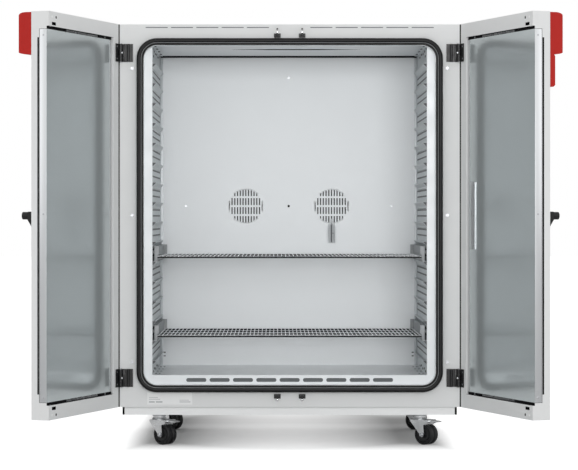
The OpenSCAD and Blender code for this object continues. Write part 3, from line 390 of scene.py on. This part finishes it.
class Shape:
    """Collects geometry in millimetres, in a local frame, and makes one object of it in metres."""

    def __init__(self, matrix=None):
        self.bm = bmesh.new()
        self.matrix = matrix or Matrix.Translation((0, FRONT * MM, 0))

    def box(self, x, y, z, bevel=0.0, segments=2):
        made = bmesh.ops.create_cube(self.bm, size=1.0)["verts"]
        size = Vector((x[1] - x[0], y[1] - y[0], z[1] - z[0]))
        mid = Vector((x[1] + x[0], y[1] + y[0], z[1] + z[0])) / 2
        for v in made:
            v.co = Vector(v.co[i] * size[i] for i in range(3)) + mid
        if bevel:
            edges = list({e for v in made for e in v.link_edges})
            bmesh.ops.bevel(self.bm, geom=edges, offset=bevel, segments=segments,
                            affect="EDGES", profile=0.5)
        return self

    def lathe(self, at, axis, profile, segments=32):
        """Turns (distance along the axis, radius) points round an axis."""
        axis = Vector(axis).normalized()
        side = axis.orthogonal().normalized()
        other = axis.cross(side)
        rings = []
        for along, r in profile:
            centre = Vector(at) + axis * along
            if r < 1e-6:
                rings.append([self.bm.verts.new(centre)])
                continue
            rings.append([
                self.bm.verts.new(centre + (side * math.cos(a) + other * math.sin(a)) * r)
                for a in (2 * math.pi * k / segments for k in range(segments))
            ])
        for a, b in zip(rings, rings[1:]):
            for k in range(segments):
                n = (k + 1) % segments
                if len(a) == 1:
                    self.bm.faces.new((a[0], b[n], b[k]))
                elif len(b) == 1:
                    self.bm.faces.new((a[k], a[n], b[0]))
                else:
                    self.bm.faces.new((a[k], a[n], b[n], b[k]))
        return self

    def disc(self, at, axis, r, h, bevel=0.0, segments=28):
        """Round plate of radius r and height h, with its outer edge broken by the bevel."""
        bevel = min(bevel, r * 0.8, h * 0.8)
        profile = [(0, 0), (0, r), (h, r), (h, 0)]
        if bevel:
            corner = [(h - bevel, r), (h - 0.3 * bevel, r - 0.3 * bevel), (h, r - bevel)]
            profile = [(0, 0), (0, r), *corner, (h, 0)]
        return self.lathe(at, axis, profile, segments)

    def screw(self, at, axis, r, h):
        """Domed screw head."""
        dome = [(h * 0.5, r), (h * 0.85, r * 0.82), (h, r * 0.5)]
        return self.lathe(at, axis, [(0, 0), (0, r), *dome, (h, 0)], 20)

    def sweep(self, path, profile):
        """Carries (outward, depth) points round a closed path of frames."""
        rings = [[self.bm.verts.new(c + o * a + d * b) for a, b in profile] for c, o, d in path]
        n = len(profile)
        for k, a in enumerate(rings):
            b = rings[(k + 1) % len(rings)]
            for j in range(n):
                self.bm.faces.new((a[j], a[(j + 1) % n], b[(j + 1) % n], b[j]))
        return self

    def prism(self, outline, d0, d1, place):
        """Carries a closed outline from d0 to d1; place(a, b, d) gives the 3D point."""
        low = [self.bm.verts.new(place(a, b, d0)) for a, b in outline]
        high = [self.bm.verts.new(place(a, b, d1)) for a, b in outline]
        self.bm.faces.new(list(reversed(low)))
        self.bm.faces.new(high)
        for k in range(len(outline)):
            n = (k + 1) % len(outline)
            self.bm.faces.new((low[k], low[n], high[n], high[k]))
        return self

    def make(self, name, body, material, slot):
        """Makes the object, rides it on its body and gives it the material; the slot is not used.
        """
        self.bm.transform(Matrix.Diagonal((MM, MM, MM, 1)))
        self.bm.transform(self.matrix)
        bmesh.ops.recalc_face_normals(self.bm, faces=self.bm.faces)
        mesh = bpy.data.meshes.new(name)
        self.bm.to_mesh(mesh)
        self.bm.free()
        mesh.shade_smooth()
        mesh.set_sharp_from_angle(angle=SHARP_ANGLE)
        mesh.materials.append(material)
        piece = bpy.data.objects.new(name, mesh)
        scene.collection.objects.link(piece)
        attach(piece, body)


def screws(name, body, places, axis, r, h, matrix=None, material=ZINC):
    """One piece of equal screw heads."""
    heads = Shape(matrix)
    for place in places:
        heads.screw(place, axis, r, h)
    heads.make(name, body, material, "zinc_plate")


def flip(side, a, b):
    """Span from a to b, mirrored where side is -1."""
    return sorted((side * a, side * b))


def upright(a, b, d):
    """Place of a prism whose outline lies in x and y and which is carried along z."""
    return Vector((a, b, d))


def side_name(side):
    return "left" if side < 0 else "right"


def door_matrix(side):
    """Carries u, w, z of an open door to the shared frame; side is -1 for left and 1 for right."""
    c, s = math.cos(OPEN), math.sin(OPEN)
    return Matrix((
        (-side * c, side * s, 0, side * (PIVOT_X + HINGE_FACE * s) * MM),
        (-s, -c, 0, (FRONT - PIVOT_OUT - HINGE_FACE * c) * MM),
        (0, 0, 1, 0),
        (0, 0, 0, 1),
    ))


def mouth_path(steps=10):
    """Frames round the rounded mouth of the cabinet, seen from the front."""
    x, low, high = MOUTH_HALF - MOUTH_R, MOUTH_Z0 + MOUTH_R, MOUTH_Z1 - MOUTH_R
    out = []
    for cx, cz, start in ((x, high, 0), (-x, high, 90), (-x, low, 180), (x, low, 270)):
        for k in range(steps + 1):
            a = math.radians(start + 90 * k / steps)
            n = Vector((math.cos(a), 0, math.sin(a)))
            out.append((Vector((cx, 0.0, cz)) + n * MOUTH_R, n, Vector(FORWARD)))
    return out


# Front of the cabinet
BEAD_OUT = 7.6
BEAD_UP = 23.3
BEAD_R = 1.2
LABEL_X = (-517, -354)
LABEL_Z = (148, 192)
LABEL_FIELDS = (
    (-511, -490, 155, 160), (-486, -462, 155, 160), (-511, -470, 166, 168),
    (-511, -478, 172, 174), (-400, -360, 156, 159), (-400, -366, 163, 165),
)
PLINTH_SHADE_X = (600.3, 607.5)
PLINTH_SHADE_Y = (6.2, 728)
PLINTH_SHADE_Z = (110.5, 138.5)
STRIKER_SCREW_OFF = 13
GUARD_SCREW = (173, 637.2, 765)
SLIT_HALF = 1.1


def frame_details():
    """Bead of the gasket, label, shade strips at the plinth ends, and the fittings seen through
    the mouth.
    """
    # Thin light bead on the inner flank of the gasket, its grey a painted highlight along the lip
    turns = [math.pi * k / 4 for k in range(8)]
    bead = [(BEAD_OUT + BEAD_R * math.cos(a), BEAD_UP + BEAD_R * math.sin(a)) for a in turns]
    Shape().sweep(mouth_path(), bead).make(
        "gasket_inner_line", "cabinet", RUBBER_HIGHLIGHT, "gasket_rubber")

    # Dark line where the chamber ceiling meets the rear baffle
    step_y = BACK_Y - 5.5
    gap = Shape()
    gap.box((2 - CHAMBER_HALF, CHAMBER_HALF - 2), (step_y, BACK_Y - 0.6),
            (CHAMBER_TOP - 3.8, CHAMBER_TOP - 0.2))
    gap.box((11 - CHAMBER_HALF, CHAMBER_HALF - 11), (BACK_Y - 44, step_y),
            (CHAMBER_TOP - 0.8, CHAMBER_TOP - 0.1))
    gap.make("ceiling_shadow_gap", "cabinet", VOID, "gasket_rubber")

    # Bare label with grey fields that carry no words
    Shape().box(LABEL_X, (-0.35, 0.0), LABEL_Z, 0.1, 1).make(
        "bare_label", "cabinet", STICKER, "button_plastic")
    fields = Shape()
    for x0, x1, z0, z1 in LABEL_FIELDS:
        fields.box((x0, x1), (-0.5, -0.3), (z0, z1))
    fields.make("bare_label_fields", "cabinet", STICKER_GREY, "button_plastic")

    # Dark strips along both ends of the plinth: painted shade
    ends = Shape()
    for s in SIDES:
        ends.box(flip(s, *PLINTH_SHADE_X), PLINTH_SHADE_Y, PLINTH_SHADE_Z, 0.8)
    ends.make("plinth_end_shade_strips", "cabinet", VOID, "gasket_rubber")

    heights = (STRIKER_LOW - STRIKER_SCREW_OFF, STRIKER_TOP + STRIKER_SCREW_OFF)
    places = [(s * STRIKER_X, -0.2, z) for s in SIDES for z in heights]
    screws("striker_screws", "cabinet", places, FORWARD, 5.0, 3.0, material=CHROME)
    screws("probe_guard_screw", "cabinet", [GUARD_SCREW], FORWARD, 3.2, 1.4)

    # Slit in the probe guard, painted dark as the shade in it
    low, high = (corner / MM for corner in map(Vector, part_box("probe_guard")))
    mid = (low.x + high.x) / 2
    face = low.y - FRONT
    Shape().box((mid - SLIT_HALF, mid + SLIT_HALF), (face - 0.3, face + 0.1),
                (low.z + 3, high.z - 1)).make(
        "probe_guard_slit", "cabinet", STEEL_SHADE, "stainless_steel")


# Chamber: rows of long holes as (first y, pitch, half width, half length)
HOLES_IN_ROW = 4
CEILING_ROW_X = 491.5
CEILING_ROW = (68, 146, 4.5, 24)
FLOOR_ROWS_X = (491.5, 478)
FLOOR_ROW = (124, 130, 4.2, 10)
WALL_HOLES = (
    (70, 1444), (166, 1441), (256, 1437), (120, 1420), (352, 1441), (450, 1437),
    (100, 262), (185, 268), (270, 262), (355, 268), (440, 262),
)
WALL_HOLE_HALF = (22, 3.5)
NOTCH_X = (479, 487)
NOTCHES_Z = (300, 286)
NOTCH_H = 3.5
SLOT_DROPS = (28.0, 50.0)
SLOT_HALF = 2.8
SLOT_Y = (46, 612)
CEILING_DARK_MARK = [(-213, 238), (-60, 214), (110, 214), (264, 238), (110, 262), (-60, 262)]


def long_holes(shape, x, z, row):
    """A row of low prisms with the outline of long holes, along y."""
    first, pitch, half_x, half_y = row
    turns = [math.pi * k / 6 for k in range(12)]
    for k in range(HOLES_IN_ROW):
        y = first + pitch * k
        outline = [(x + half_x * math.cos(a), y + half_y * math.sin(a)) for a in turns]
        shape.prism(outline, z[0], z[1], upright)


def perforations():
    """Holes in ceiling, floor and walls of the chamber, and air slots between the rails, all
    painted dark as the shade in them.
    """
    holes = Shape()
    wall = (CHAMBER_HALF - 0.3, CHAMBER_HALF + 0.05)
    half_y, half_z = WALL_HOLE_HALF
    for s in SIDES:
        long_holes(holes, s * CEILING_ROW_X, (CHAMBER_TOP - 0.25, CHAMBER_TOP + 0.05), CEILING_ROW)
        for x in FLOOR_ROWS_X:
            long_holes(holes, s * x, (CHAMBER_Z - 0.05, CHAMBER_Z + 0.25), FLOOR_ROW)
        for y, z in WALL_HOLES:
            holes.box(flip(s, *wall), (y - half_y, y + half_y), (z - half_z, z + half_z), 0.1, 1)
        for z in NOTCHES_Z:
            holes.box(flip(s, *NOTCH_X), (BACK_Y - 1.4, BACK_Y - 0.1), (z, z + NOTCH_H))
    holes.disc((0, BACK_Y - 3.6, FAN_Z), FORWARD, 4.6, 0.5)
    holes.make("chamber_perforations", "cabinet", VOID, "gasket_rubber")

    slots = Shape()
    for s in SIDES:
        for k in range(RAIL_COUNT - 1):
            for drop in SLOT_DROPS:
                z = RAIL_TOP - k * RAIL_PITCH - drop
                slots.box(flip(s, CHAMBER_HALF - 0.4, CHAMBER_HALF + 0.1), SLOT_Y,
                          (z - SLOT_HALF, z + SLOT_HALF))
    slots.make("side_air_slots", "cabinet", STEEL_SHADE, "stainless_steel")

    # Long dark mark on the ceiling, pointed at both ends: a painted dark reflection in the ceiling
    # sheet
    Shape().prism(CEILING_DARK_MARK, CHAMBER_TOP - 0.3, CHAMBER_TOP + 0.1, upright).make(
        "ceiling_dark_mark", "cabinet", VOID, "gasket_rubber")


# Cut end of a rail, as (inwards from the wall, up from the rail's top)
RAIL_END = [(0, -0.3), (-10.8, -0.3), (-11.8, -1.1), (-11.8, -2.4), (0, -14.5)]
CORNER_STRIP_X = (489.5, 500.2)
FLANGE_X = (483, 494.5)
FLANGE_Y = (59.2, 60.2)
FLANGE_UP = (1.5, 54.5)
CARRIER_SCREW = (497, 59.6, 34)


def rail_details():
    """Cut ends of the rails painted dark as shade, strips in the rear corners, and the fronts of
    the carriers.
    """
    ends = Shape()
    for s in SIDES:
        for k in range(RAIL_COUNT):
            top = RAIL_TOP - k * RAIL_PITCH
            outline = [(s * (CHAMBER_HALF + a), top + b) for a, b in RAIL_END]
            ends.prism(outline, RAIL_Y - 0.8, RAIL_Y + 0.3, lambda a, b, d: Vector((a, d, b)))
    ends.make("rail_ends", "cabinet", STEEL_SHADE, "stainless_steel")

    strips = Shape()
    for s in SIDES:
        strips.box(flip(s, *CORNER_STRIP_X), (BACK_Y - 11, BACK_Y - 0.4),
                   (CHAMBER_Z + 0.2, CHAMBER_TOP - 6), 0.8)
    strips.make("rear_corner_strips", "cabinet", STEEL_SIDE_SHADED, "stainless_steel")

    # Flanges over the front ends of the shelf carriers, each with a screw beside it
    flanges = Shape()
    places = []
    screw_x, screw_y, screw_up = CARRIER_SCREW
    for rail in SHELF_RAILS.values():
        base = RAIL_TOP - rail * RAIL_PITCH
        for s in SIDES:
            flanges.box(flip(s, *FLANGE_X), FLANGE_Y,
                        (base + FLANGE_UP[0], base + FLANGE_UP[1]), 0.3)
            places.append((s * screw_x, screw_y, base + screw_up))
    flanges.make("carrier_flanges", "cabinet", CARRIER, "stainless_steel")
    screws("carrier_screws", "cabinet", places, FORWARD, 2.2, 1.0, material=CHROME)


# Hinges
HINGE_PLATE_X = (598.5, 606)
HINGE_PLATE_HALF_Z = 32
HINGE_HEAD_X = 608
EDGE_SEAL_X = (616.5, 622)


def hinge_details(side):
    """Black plates and screw heads of the hinges, and the black seal on the cabinet's edge, which
    also paints the shade in the gap beside the door.
    """
    name = side_name(side)
    plates = Shape()
    for z in HINGES_Z:
        plates.box(flip(side, *HINGE_PLATE_X), (-7, -0.4),
                   (z - HINGE_PLATE_HALF_Z, z + HINGE_PLATE_HALF_Z), 0.6)
    plates.make(f"{name}_hinge_back_plates", "cabinet", BLACK_METAL, "black_casting")
    places = [(side * HINGE_HEAD_X, -PIVOT_OUT - 7.0, z) for z in HINGES_Z]
    screws(f"{name}_hinge_heads", f"{name}_door", places, FORWARD, 3.2, 1.2)
    # Black rubber strip on the cabinet's edge: a seal, and painted shade of the gap between door
    # and cabinet
    Shape().box(flip(side, *EDGE_SEAL_X), (0.5, 3.5), (CABINET_Z, CABINET_TOP), 0.5).make(
        f"{name}_edge_seal", "cabinet", RUBBER, "gasket_rubber")


# Doors
GROOVE_SEAL_W = (8.3, 12.5)
GROOVE_SEAL_PLAY = 0.4
INSERT_U = ((171.5, 444.5), (98.5, 111.5))
STRIP_W = (8.6, 34.3)
STRIP_SCREWS_Z = (1447, 839, 217)
LOCK_DARK_W = (36.4, 42.4)
LOCK_DARK_Z = (227, 1439)
BESIDE_LATCH_Z = (STRIKER_TOP + 23, STRIKER_LOW - 23)
BORE_U = 551
PLUG_U = 584
LEAF_SCREW_U = 20
LEAF_SCREW_DZ = (-22, 22)
LEVER_PLATE_HALF = 22
LEVER_PLATE_Z = (778, 851)


def door_details(side):
    """Seals, strips, screws and covers of one door."""
    name = side_name(side)
    body = f"{name}_door"
    place = door_matrix(side)
    hinge_band = DOOR_EDGE + HINGE_BAND
    band_low = CABINET_Z + DOOR_BAND
    band_high = CABINET_TOP - DOOR_BAND
    panel_low = band_low + GROOVE
    panel_high = band_high - GROOVE

    # Black silicone down in the grooves above and below the steel panel, in the near black that
    # also paints the shade in the grooves, with shiny inserts whose lighter grey is a painted
    # reflection
    seal = Shape(place)
    insert = Shape(place)
    for low, high in ((panel_high, band_high), (band_low, panel_low)):
        z = (low + GROOVE_SEAL_PLAY, high - GROOVE_SEAL_PLAY)
        for u in ((hinge_band + 0.5, 98), (112, 171), (445, DOOR_U1 - 0.6)):
            seal.box(u, GROOVE_SEAL_W, z, 0.8)
        for u in INSERT_U:
            insert.box(u, GROOVE_SEAL_W, z, 2.0, 3)
    seal.make(f"{name}_groove_seal", body, VOID, "gasket_rubber")
    insert.make(f"{name}_groove_reflection_insert", body, SEAL_PAINTED_REFLECTION, "gasket_rubber")
    Shape(place).box((hinge_band - 1.4, hinge_band + 0.2), (0.2, 13.6),
                     (band_low, band_high), 0.3).make(
        f"{name}_return_lip", body, PAINT, "grey_paint")

    # Steel strip on the lock edge, with its screws, and a near-black strip beside it, coloured as
    # painted shade
    Shape(place).box((DOOR_U1 - 0.9, DOOR_U1 - 0.1), STRIP_W,
                     (panel_low + 0.5, panel_high - 0.5), 0.3).make(
        f"{name}_edge_strip", body, STEEL_TRIM, "stainless_steel")
    screws(f"{name}_edge_strip_screws", body, [(DOOR_U1 - 0.3, 20, z) for z in STRIP_SCREWS_Z],
           (1, 0, 0), 3.4, 0.9, place)
    Shape(place).box((DOOR_U1 - 0.4, DOOR_U1 + 0.5), LOCK_DARK_W, LOCK_DARK_Z, 0.3).make(
        f"{name}_lock_edge_dark_strip", body, VOID, "gasket_rubber")

    # Bores beside the latch slots, painted dark as the shade in them, and plugs in the lighter
    # copy of the paint
    bores = Shape(place)
    plugs = Shape(place)
    for z in BESIDE_LATCH_Z:
        bores.disc((BORE_U, -0.05, z), BACKWARD, 5.0, 0.6)
        plugs.disc((PLUG_U, 0.3, z), FORWARD, 4.2, 0.7, 0.3)
    bores.make(f"{name}_latch_bores", body, VOID, "gasket_rubber")
    plugs.make(f"{name}_latch_plugs", body, PAINT_LIT, "grey_paint")

    places = [(LEAF_SCREW_U, -2.9, z + dz) for z in HINGES_Z for dz in LEAF_SCREW_DZ]
    screws(f"{name}_hinge_door_screws", body, places, FORWARD, 3.2, 1.4, place)

    # Outer skin: gasket of the lever plate, and a rim round the fascia in a darker red, as painted
    # shade of its edge
    Shape(place).box((LATCH_U - LEVER_PLATE_HALF, LATCH_U + LEVER_PLATE_HALF),
                     (DOOR_T - 0.4, DOOR_T + 1.2), LEVER_PLATE_Z, 0.8).make(
        f"{name}_escutcheon_gasket", body, BLACK, "black_plastic")
    Shape(place).box((FASCIA_U[0] - 0.4, FASCIA_U[1] + 0.4), (DOOR_T - 0.4, DOOR_T + 1.4),
                     (FASCIA_Z[0] - 0.6, FASCIA_Z[1] + 0.4), 0.5).make(
        f"{name}_fascia_shade_rim", body, RED_SHADE, "red_plastic")


# Controller on the right door
BEZEL_BARS = (
    ((365, 523), (1499, 1505)), ((365, 523), (1403, 1409)),
    ((365, 371), (1403, 1505)), ((517, 523), (1403, 1505)),
)
FIELD_ROWS = 4
FIELD_U = 385
FIELD_END_U = (430, 442)
FIELD_TOP = 1480
FIELD_PITCH = 16
FIELD_H = 4
FIELD_BLOCK = ((470, 503), (1430, 1484))
RING_PROFILE = [(0, 10.2), (0, 13), (1.0, 13), (1.6, 12.2), (1.6, 10.6), (1.0, 10.0), (0, 9.6)]
PORT_U = (BUTTON_U - 120, BUTTON_U - 84)
PORT_HALF_Z = 9
CABLE_SCREWS_Z = (MID_Z - 108, MID_Z, MID_Z + 109)


def controller_details():
    """Display frame and fields, ring of the button, port cover, groove in a darker red as painted
    shade, and cable cover screws.
    """
    place = door_matrix(1)
    bezel = Shape(place)
    for u, z in BEZEL_BARS:
        bezel.box(u, (FASCIA_W - 0.5, FASCIA_W + 2.6), z, 0.8)
    bezel.make("display_bezel", "right_door", BLACK, "black_plastic")

    fields = Shape(place)
    glass = (FASCIA_W + 1.45, FASCIA_W + 1.6)
    for k in range(FIELD_ROWS):
        low = FIELD_TOP - FIELD_PITCH * k
        fields.box((FIELD_U, FIELD_END_U[k % 2]), glass, (low, low + FIELD_H))
    fields.box(FIELD_BLOCK[0], glass, FIELD_BLOCK[1])
    fields.make("display_fields", "right_door", STICKER_GREY, "display_glass")

    Shape(place).lathe((BUTTON_U, BLOCK_W - 0.3, BUTTON_Z), BACKWARD, RING_PROFILE, 36).make(
        "button_ring", "right_door", GREY_BUTTON, "button_plastic")
    Shape(place).box(PORT_U, (BLOCK_W - 0.4, BLOCK_W + 1.4),
                     (BUTTON_Z - PORT_HALF_Z, BUTTON_Z + PORT_HALF_Z), 1.2, 3).make(
        "service_port_cover", "right_door", BLACK, "black_plastic")
    Shape(place).box((FASCIA_U[0] + 1, FASCIA_U[1] - 1), (DOOR_T + 1, BLOCK_W - 3),
                     (FASCIA_Z[0] - 2.2, FASCIA_Z[0] - 0.2)).make(
        "controller_groove", "right_door", RED_SHADE, "red_plastic")
    places = [(103.5, PANEL_STEP - 3.5, z) for z in CABLE_SCREWS_Z]
    screws("cable_cover_screws", "right_door", places, FORWARD, 3.0, 1.2, place)


# Back of the cabinet
PANEL_SCREWS_X = (-595, -300, 0, 300, 595)
PANEL_SCREWS_Z = (160, 1508)
SIDE_SCREWS_X = (-595, 595)
SIDE_SCREWS_Z = (480, 834, 1190)
COVERS_X = (-400, 30)
COVER_W = 370
COVER_Z = (760, 980)
COVER_SLOTS = 9
COVER_SLOT_X = (40, 330)
COVER_SLOT_Z = 790
COVER_SLOT_PITCH = 20
COVER_SLOT_H = 5
COVER_SCREW_IN = 12
SPIGOT_COLLAR = [(0, 25.7), (0, 40), (1.6, 40), (2.2, 39), (2.2, 27.0), (1.4, 25.7)]


def back_details():
    """Screws of the rear panel, slotted covers over the fan motors, collar of the spigot."""
    y = CABINET_D
    places = [(x, y - 0.1, z) for x in PANEL_SCREWS_X for z in PANEL_SCREWS_Z]
    places += [(x, y - 0.1, z) for z in SIDE_SCREWS_Z for x in SIDE_SCREWS_X]
    screws("rear_panel_screws", "cabinet", places, BACKWARD, 4.0, 1.8)

    covers = Shape()
    for x0 in COVERS_X:
        covers.box((x0, x0 + COVER_W), (y - 0.3, y + 1.4), COVER_Z, 0.7)
    covers.make("rear_motor_covers", "cabinet", PAINT, "grey_paint")
    # The slots are near-black strips: painted shade
    slots = Shape()
    for x0 in COVERS_X:
        for k in range(COVER_SLOTS):
            low = COVER_SLOT_Z + COVER_SLOT_PITCH * k
            slots.box((x0 + COVER_SLOT_X[0], x0 + COVER_SLOT_X[1]), (y + 1.2, y + 1.55),
                      (low, low + COVER_SLOT_H))
    slots.make("rear_cover_slots", "cabinet", VOID, "gasket_rubber")
    places = [
        (x0 + dx, y + 1.3, z)
        for x0 in COVERS_X
        for dx in (COVER_SCREW_IN, COVER_W - COVER_SCREW_IN)
        for z in (COVER_Z[0] + COVER_SCREW_IN, COVER_Z[1] - COVER_SCREW_IN)
    ]
    screws("rear_cover_screws", "cabinet", places, BACKWARD, 3.6, 1.6)

    spigot_x, spigot_z = SPIGOT
    Shape().lathe((spigot_x, y - 0.3, spigot_z), BACKWARD, SPIGOT_COLLAR, 48).make(
        "spigot_collar", "cabinet", BLACK, "black_plastic")


# Casters, with profiles as (along the axis, radius)
NUT_Y = 33.5
NUT_PROFILE = [(0, 0), (0, 7.5), (3.2, 7.5), (4.4, 6.2), (4.4, 0)]
RACE_Z = 85.5
RACE_PROFILE = [(0, 12), (0, 23), (2.5, 26), (6, 27), (10, 25.5), (12.5, 21), (14.5, 20),
                (14.5, 12), (0, 12)]
DISC_Y = 21.2
DISC_PROFILE = [(0, 12.2), (0, 25.8), (0.9, 25.2), (1.4, 22), (0.9, 14), (0, 12.2)]


def caster_details(key):
    """Axle nuts and swivel race of a fork, and the discs in its wheels."""
    x, y = CASTERS[key]
    spot = Matrix.Translation((x * MM, (FRONT + y) * MM, 0))
    place = spot @ Matrix.Rotation(CASTER_TURN, 4, "Z")
    nuts = Shape(place)
    discs = Shape(place)
    for s in SIDES:
        nuts.lathe((TRAIL, s * NUT_Y, WHEEL_R), (0, s, 0), NUT_PROFILE, 6)
        discs.lathe((TRAIL, s * DISC_Y, WHEEL_R), (0, s, 0), DISC_PROFILE, 48)
    nuts.make(f"{key}_axle_nuts", f"{key}_caster", ZINC, "zinc_plate")
    Shape(place).lathe((0, 0, RACE_Z), (0, 0, 1), RACE_PROFILE, 48).make(
        f"{key}_swivel_race", f"{key}_caster", CHROME, "zinc_plate")
    discs.make(f"{key}_wheel_discs", f"{key}_roller", BLACK, "caster_tyre")


frame_details()
perforations()
rail_details()
for s in SIDES:
    hinge_details(s)
    door_details(s)
controller_details()
back_details()
for key in CASTERS:
    caster_details(key)


# Floor, light and camera, in metres
FRONT_M = FRONT * MM
FLOOR_HALF = 40.0
FLOOR_GREY = (0.80, 0.80, 0.80)
SHADE_GREY = (0.40, 0.40, 0.40)
GLOW = 0.75
MIDDLE_GLOW = 0.44
STRIP_END = (FRONT_M + 1.1, FRONT_M + 1.8)
WORLD_SOFT = 0.60
WORLD_WHITE = 1.0
WHITE = (1.0, 1.0, 1.0, 1)
LAMP_AIM = (0, 0, 0.8)


def floor_glow(tree, across, back):
    """Strength of the glow that whitens the floor for the camera.

    It leaves out a strip as wide as the cabinet and behind its front, where the shadow shows, and
    grows again towards the middle of that strip, as painted light inside the shadow.
    """
    beside = span(tree, across, 0.0, GLOW, (0.50, 0.63), "SMOOTHSTEP")
    before = span(tree, back, GLOW, 0.0, (FRONT_M - 0.32, FRONT_M + 0.16), "SMOOTHSTEP")
    middle = span(tree, maths(tree, "MULTIPLY", across, across), MIDDLE_GLOW, 0.0, (0.0, 0.17))
    after = span(tree, back, 0.0, GLOW, STRIP_END, "SMOOTHSTEP")
    outside = maths(tree, "MAXIMUM", beside, maths(tree, "MAXIMUM", before, after))
    rays = tree.nodes.new("ShaderNodeLightPath")
    glow = maths(tree, "MAXIMUM", outside, middle)
    return maths(tree, "MULTIPLY", rays.outputs["Is Camera Ray"], glow)


def floor_colour(tree, across, back):
    """Pale grey, with a painted shadow under and behind the rear of the cabinet."""
    behind = span(tree, back, 0.0, 1.0, (FRONT_M + 0.5, FRONT_M + 0.95))
    inside = span(tree, across, 1.0, 0.0, (0.50, 0.61))
    near = span(tree, back, 1.0, 0.0, STRIP_END)
    painted_shadow = maths(tree, "MULTIPLY", maths(tree, "MULTIPLY", behind, inside), near)
    return blend_colours(tree, painted_shadow, FLOOR_GREY, SHADE_GREY)


def make_floor():
    mesh = bpy.data.meshes.new("floor")
    r = FLOOR_HALF
    mesh.from_pydata([(-r, -r, 0), (r, -r, 0), (r, r, 0), (-r, r, 0)], [], [(0, 1, 2, 3)])
    floor = bpy.data.objects.new("floor", mesh)
    scene.collection.objects.link(floor)
    mat = bpy.data.materials.new("white_floor")
    mat.use_nodes = True
    tree = mat.node_tree
    tree.nodes.clear()
    out = tree.nodes.new("ShaderNodeOutputMaterial")
    diffuse = tree.nodes.new("ShaderNodeBsdfDiffuse")
    glow = tree.nodes.new("ShaderNodeEmission")
    add = tree.nodes.new("ShaderNodeAddShader")
    where = tree.nodes.new("ShaderNodeTexCoord")
    apart = split_xyz(tree, where.outputs["Object"])
    across = maths(tree, "ABSOLUTE", apart["X"])
    tree.links.new(floor_glow(tree, across, apart["Y"]), glow.inputs["Strength"])
    tree.links.new(floor_colour(tree, across, apart["Y"]), diffuse.inputs["Color"])
    tree.links.new(diffuse.outputs[0], add.inputs[0])
    tree.links.new(glow.outputs[0], add.inputs[1])
    tree.links.new(add.outputs[0], out.inputs["Surface"])
    mesh.materials.append(mat)


def background(tree, strength):
    node = tree.nodes.new("ShaderNodeBackground")
    node.inputs["Color"].default_value = WHITE
    node.inputs["Strength"].default_value = strength
    return node.outputs[0]


def make_world():
    """Soft light on the object; white for the camera and in reflection and transmission."""
    world = bpy.data.worlds.new("studio")
    scene.world = world
    world.use_nodes = True
    tree = world.node_tree
    tree.nodes.clear()
    out = tree.nodes.new("ShaderNodeOutputWorld")
    rays = tree.nodes.new("ShaderNodeLightPath").outputs
    direct = maths(tree, "ADD", rays["Is Camera Ray"], rays["Is Glossy Ray"], clamp=True)
    seen = maths(tree, "ADD", direct, rays["Is Transmission Ray"], clamp=True)
    mix = tree.nodes.new("ShaderNodeMixShader")
    tree.links.new(seen, mix.inputs["Fac"])
    tree.links.new(background(tree, WORLD_SOFT), mix.inputs[1])
    tree.links.new(background(tree, WORLD_WHITE), mix.inputs[2])
    tree.links.new(mix.outputs[0], out.inputs["Surface"])


def area(name, at, size, energy):
    """Rectangular lamp that aims at the middle of the cabinet."""
    data = bpy.data.lights.new(name, "AREA")
    data.shape = "RECTANGLE"
    data.size, data.size_y = size
    data.energy = energy
    lamp = bpy.data.objects.new(name, data)
    lamp.location = at
    lamp.rotation_euler = (Vector(LAMP_AIM) - Vector(at)).to_track_quat("-Z", "Y").to_euler()
    scene.collection.objects.link(lamp)


def make_camera():
    """The photograph's camera: level, 8.76 m before the cabinet, a little left of its middle."""
    data = bpy.data.cameras.new("camera")
    data.sensor_width = 36.0
    data.lens = 150.3
    data.shift_x = 0.025
    data.shift_y = -0.0336
    data.clip_end = 100.0
    cam = bpy.data.objects.new("camera", data)
    cam.location = (-0.055, FRONT_M - 8.76, 0.834)
    cam.rotation_euler = (math.radians(90), 0, 0)
    scene.collection.objects.link(cam)
    scene.camera = cam


make_camera()
make_floor()
make_world()
area("front_key", (0.5, -6.0, 1.5), (3.0, 1.6), 75.0)
area("left_fill", (-4.0, -2.5, 2.0), (2.0, 2.5), 9.0)
area("right_fill", (4.0, -2.5, 2.0), (2.0, 2.5), 9.0)
scene.view_settings.view_transform = "Standard"
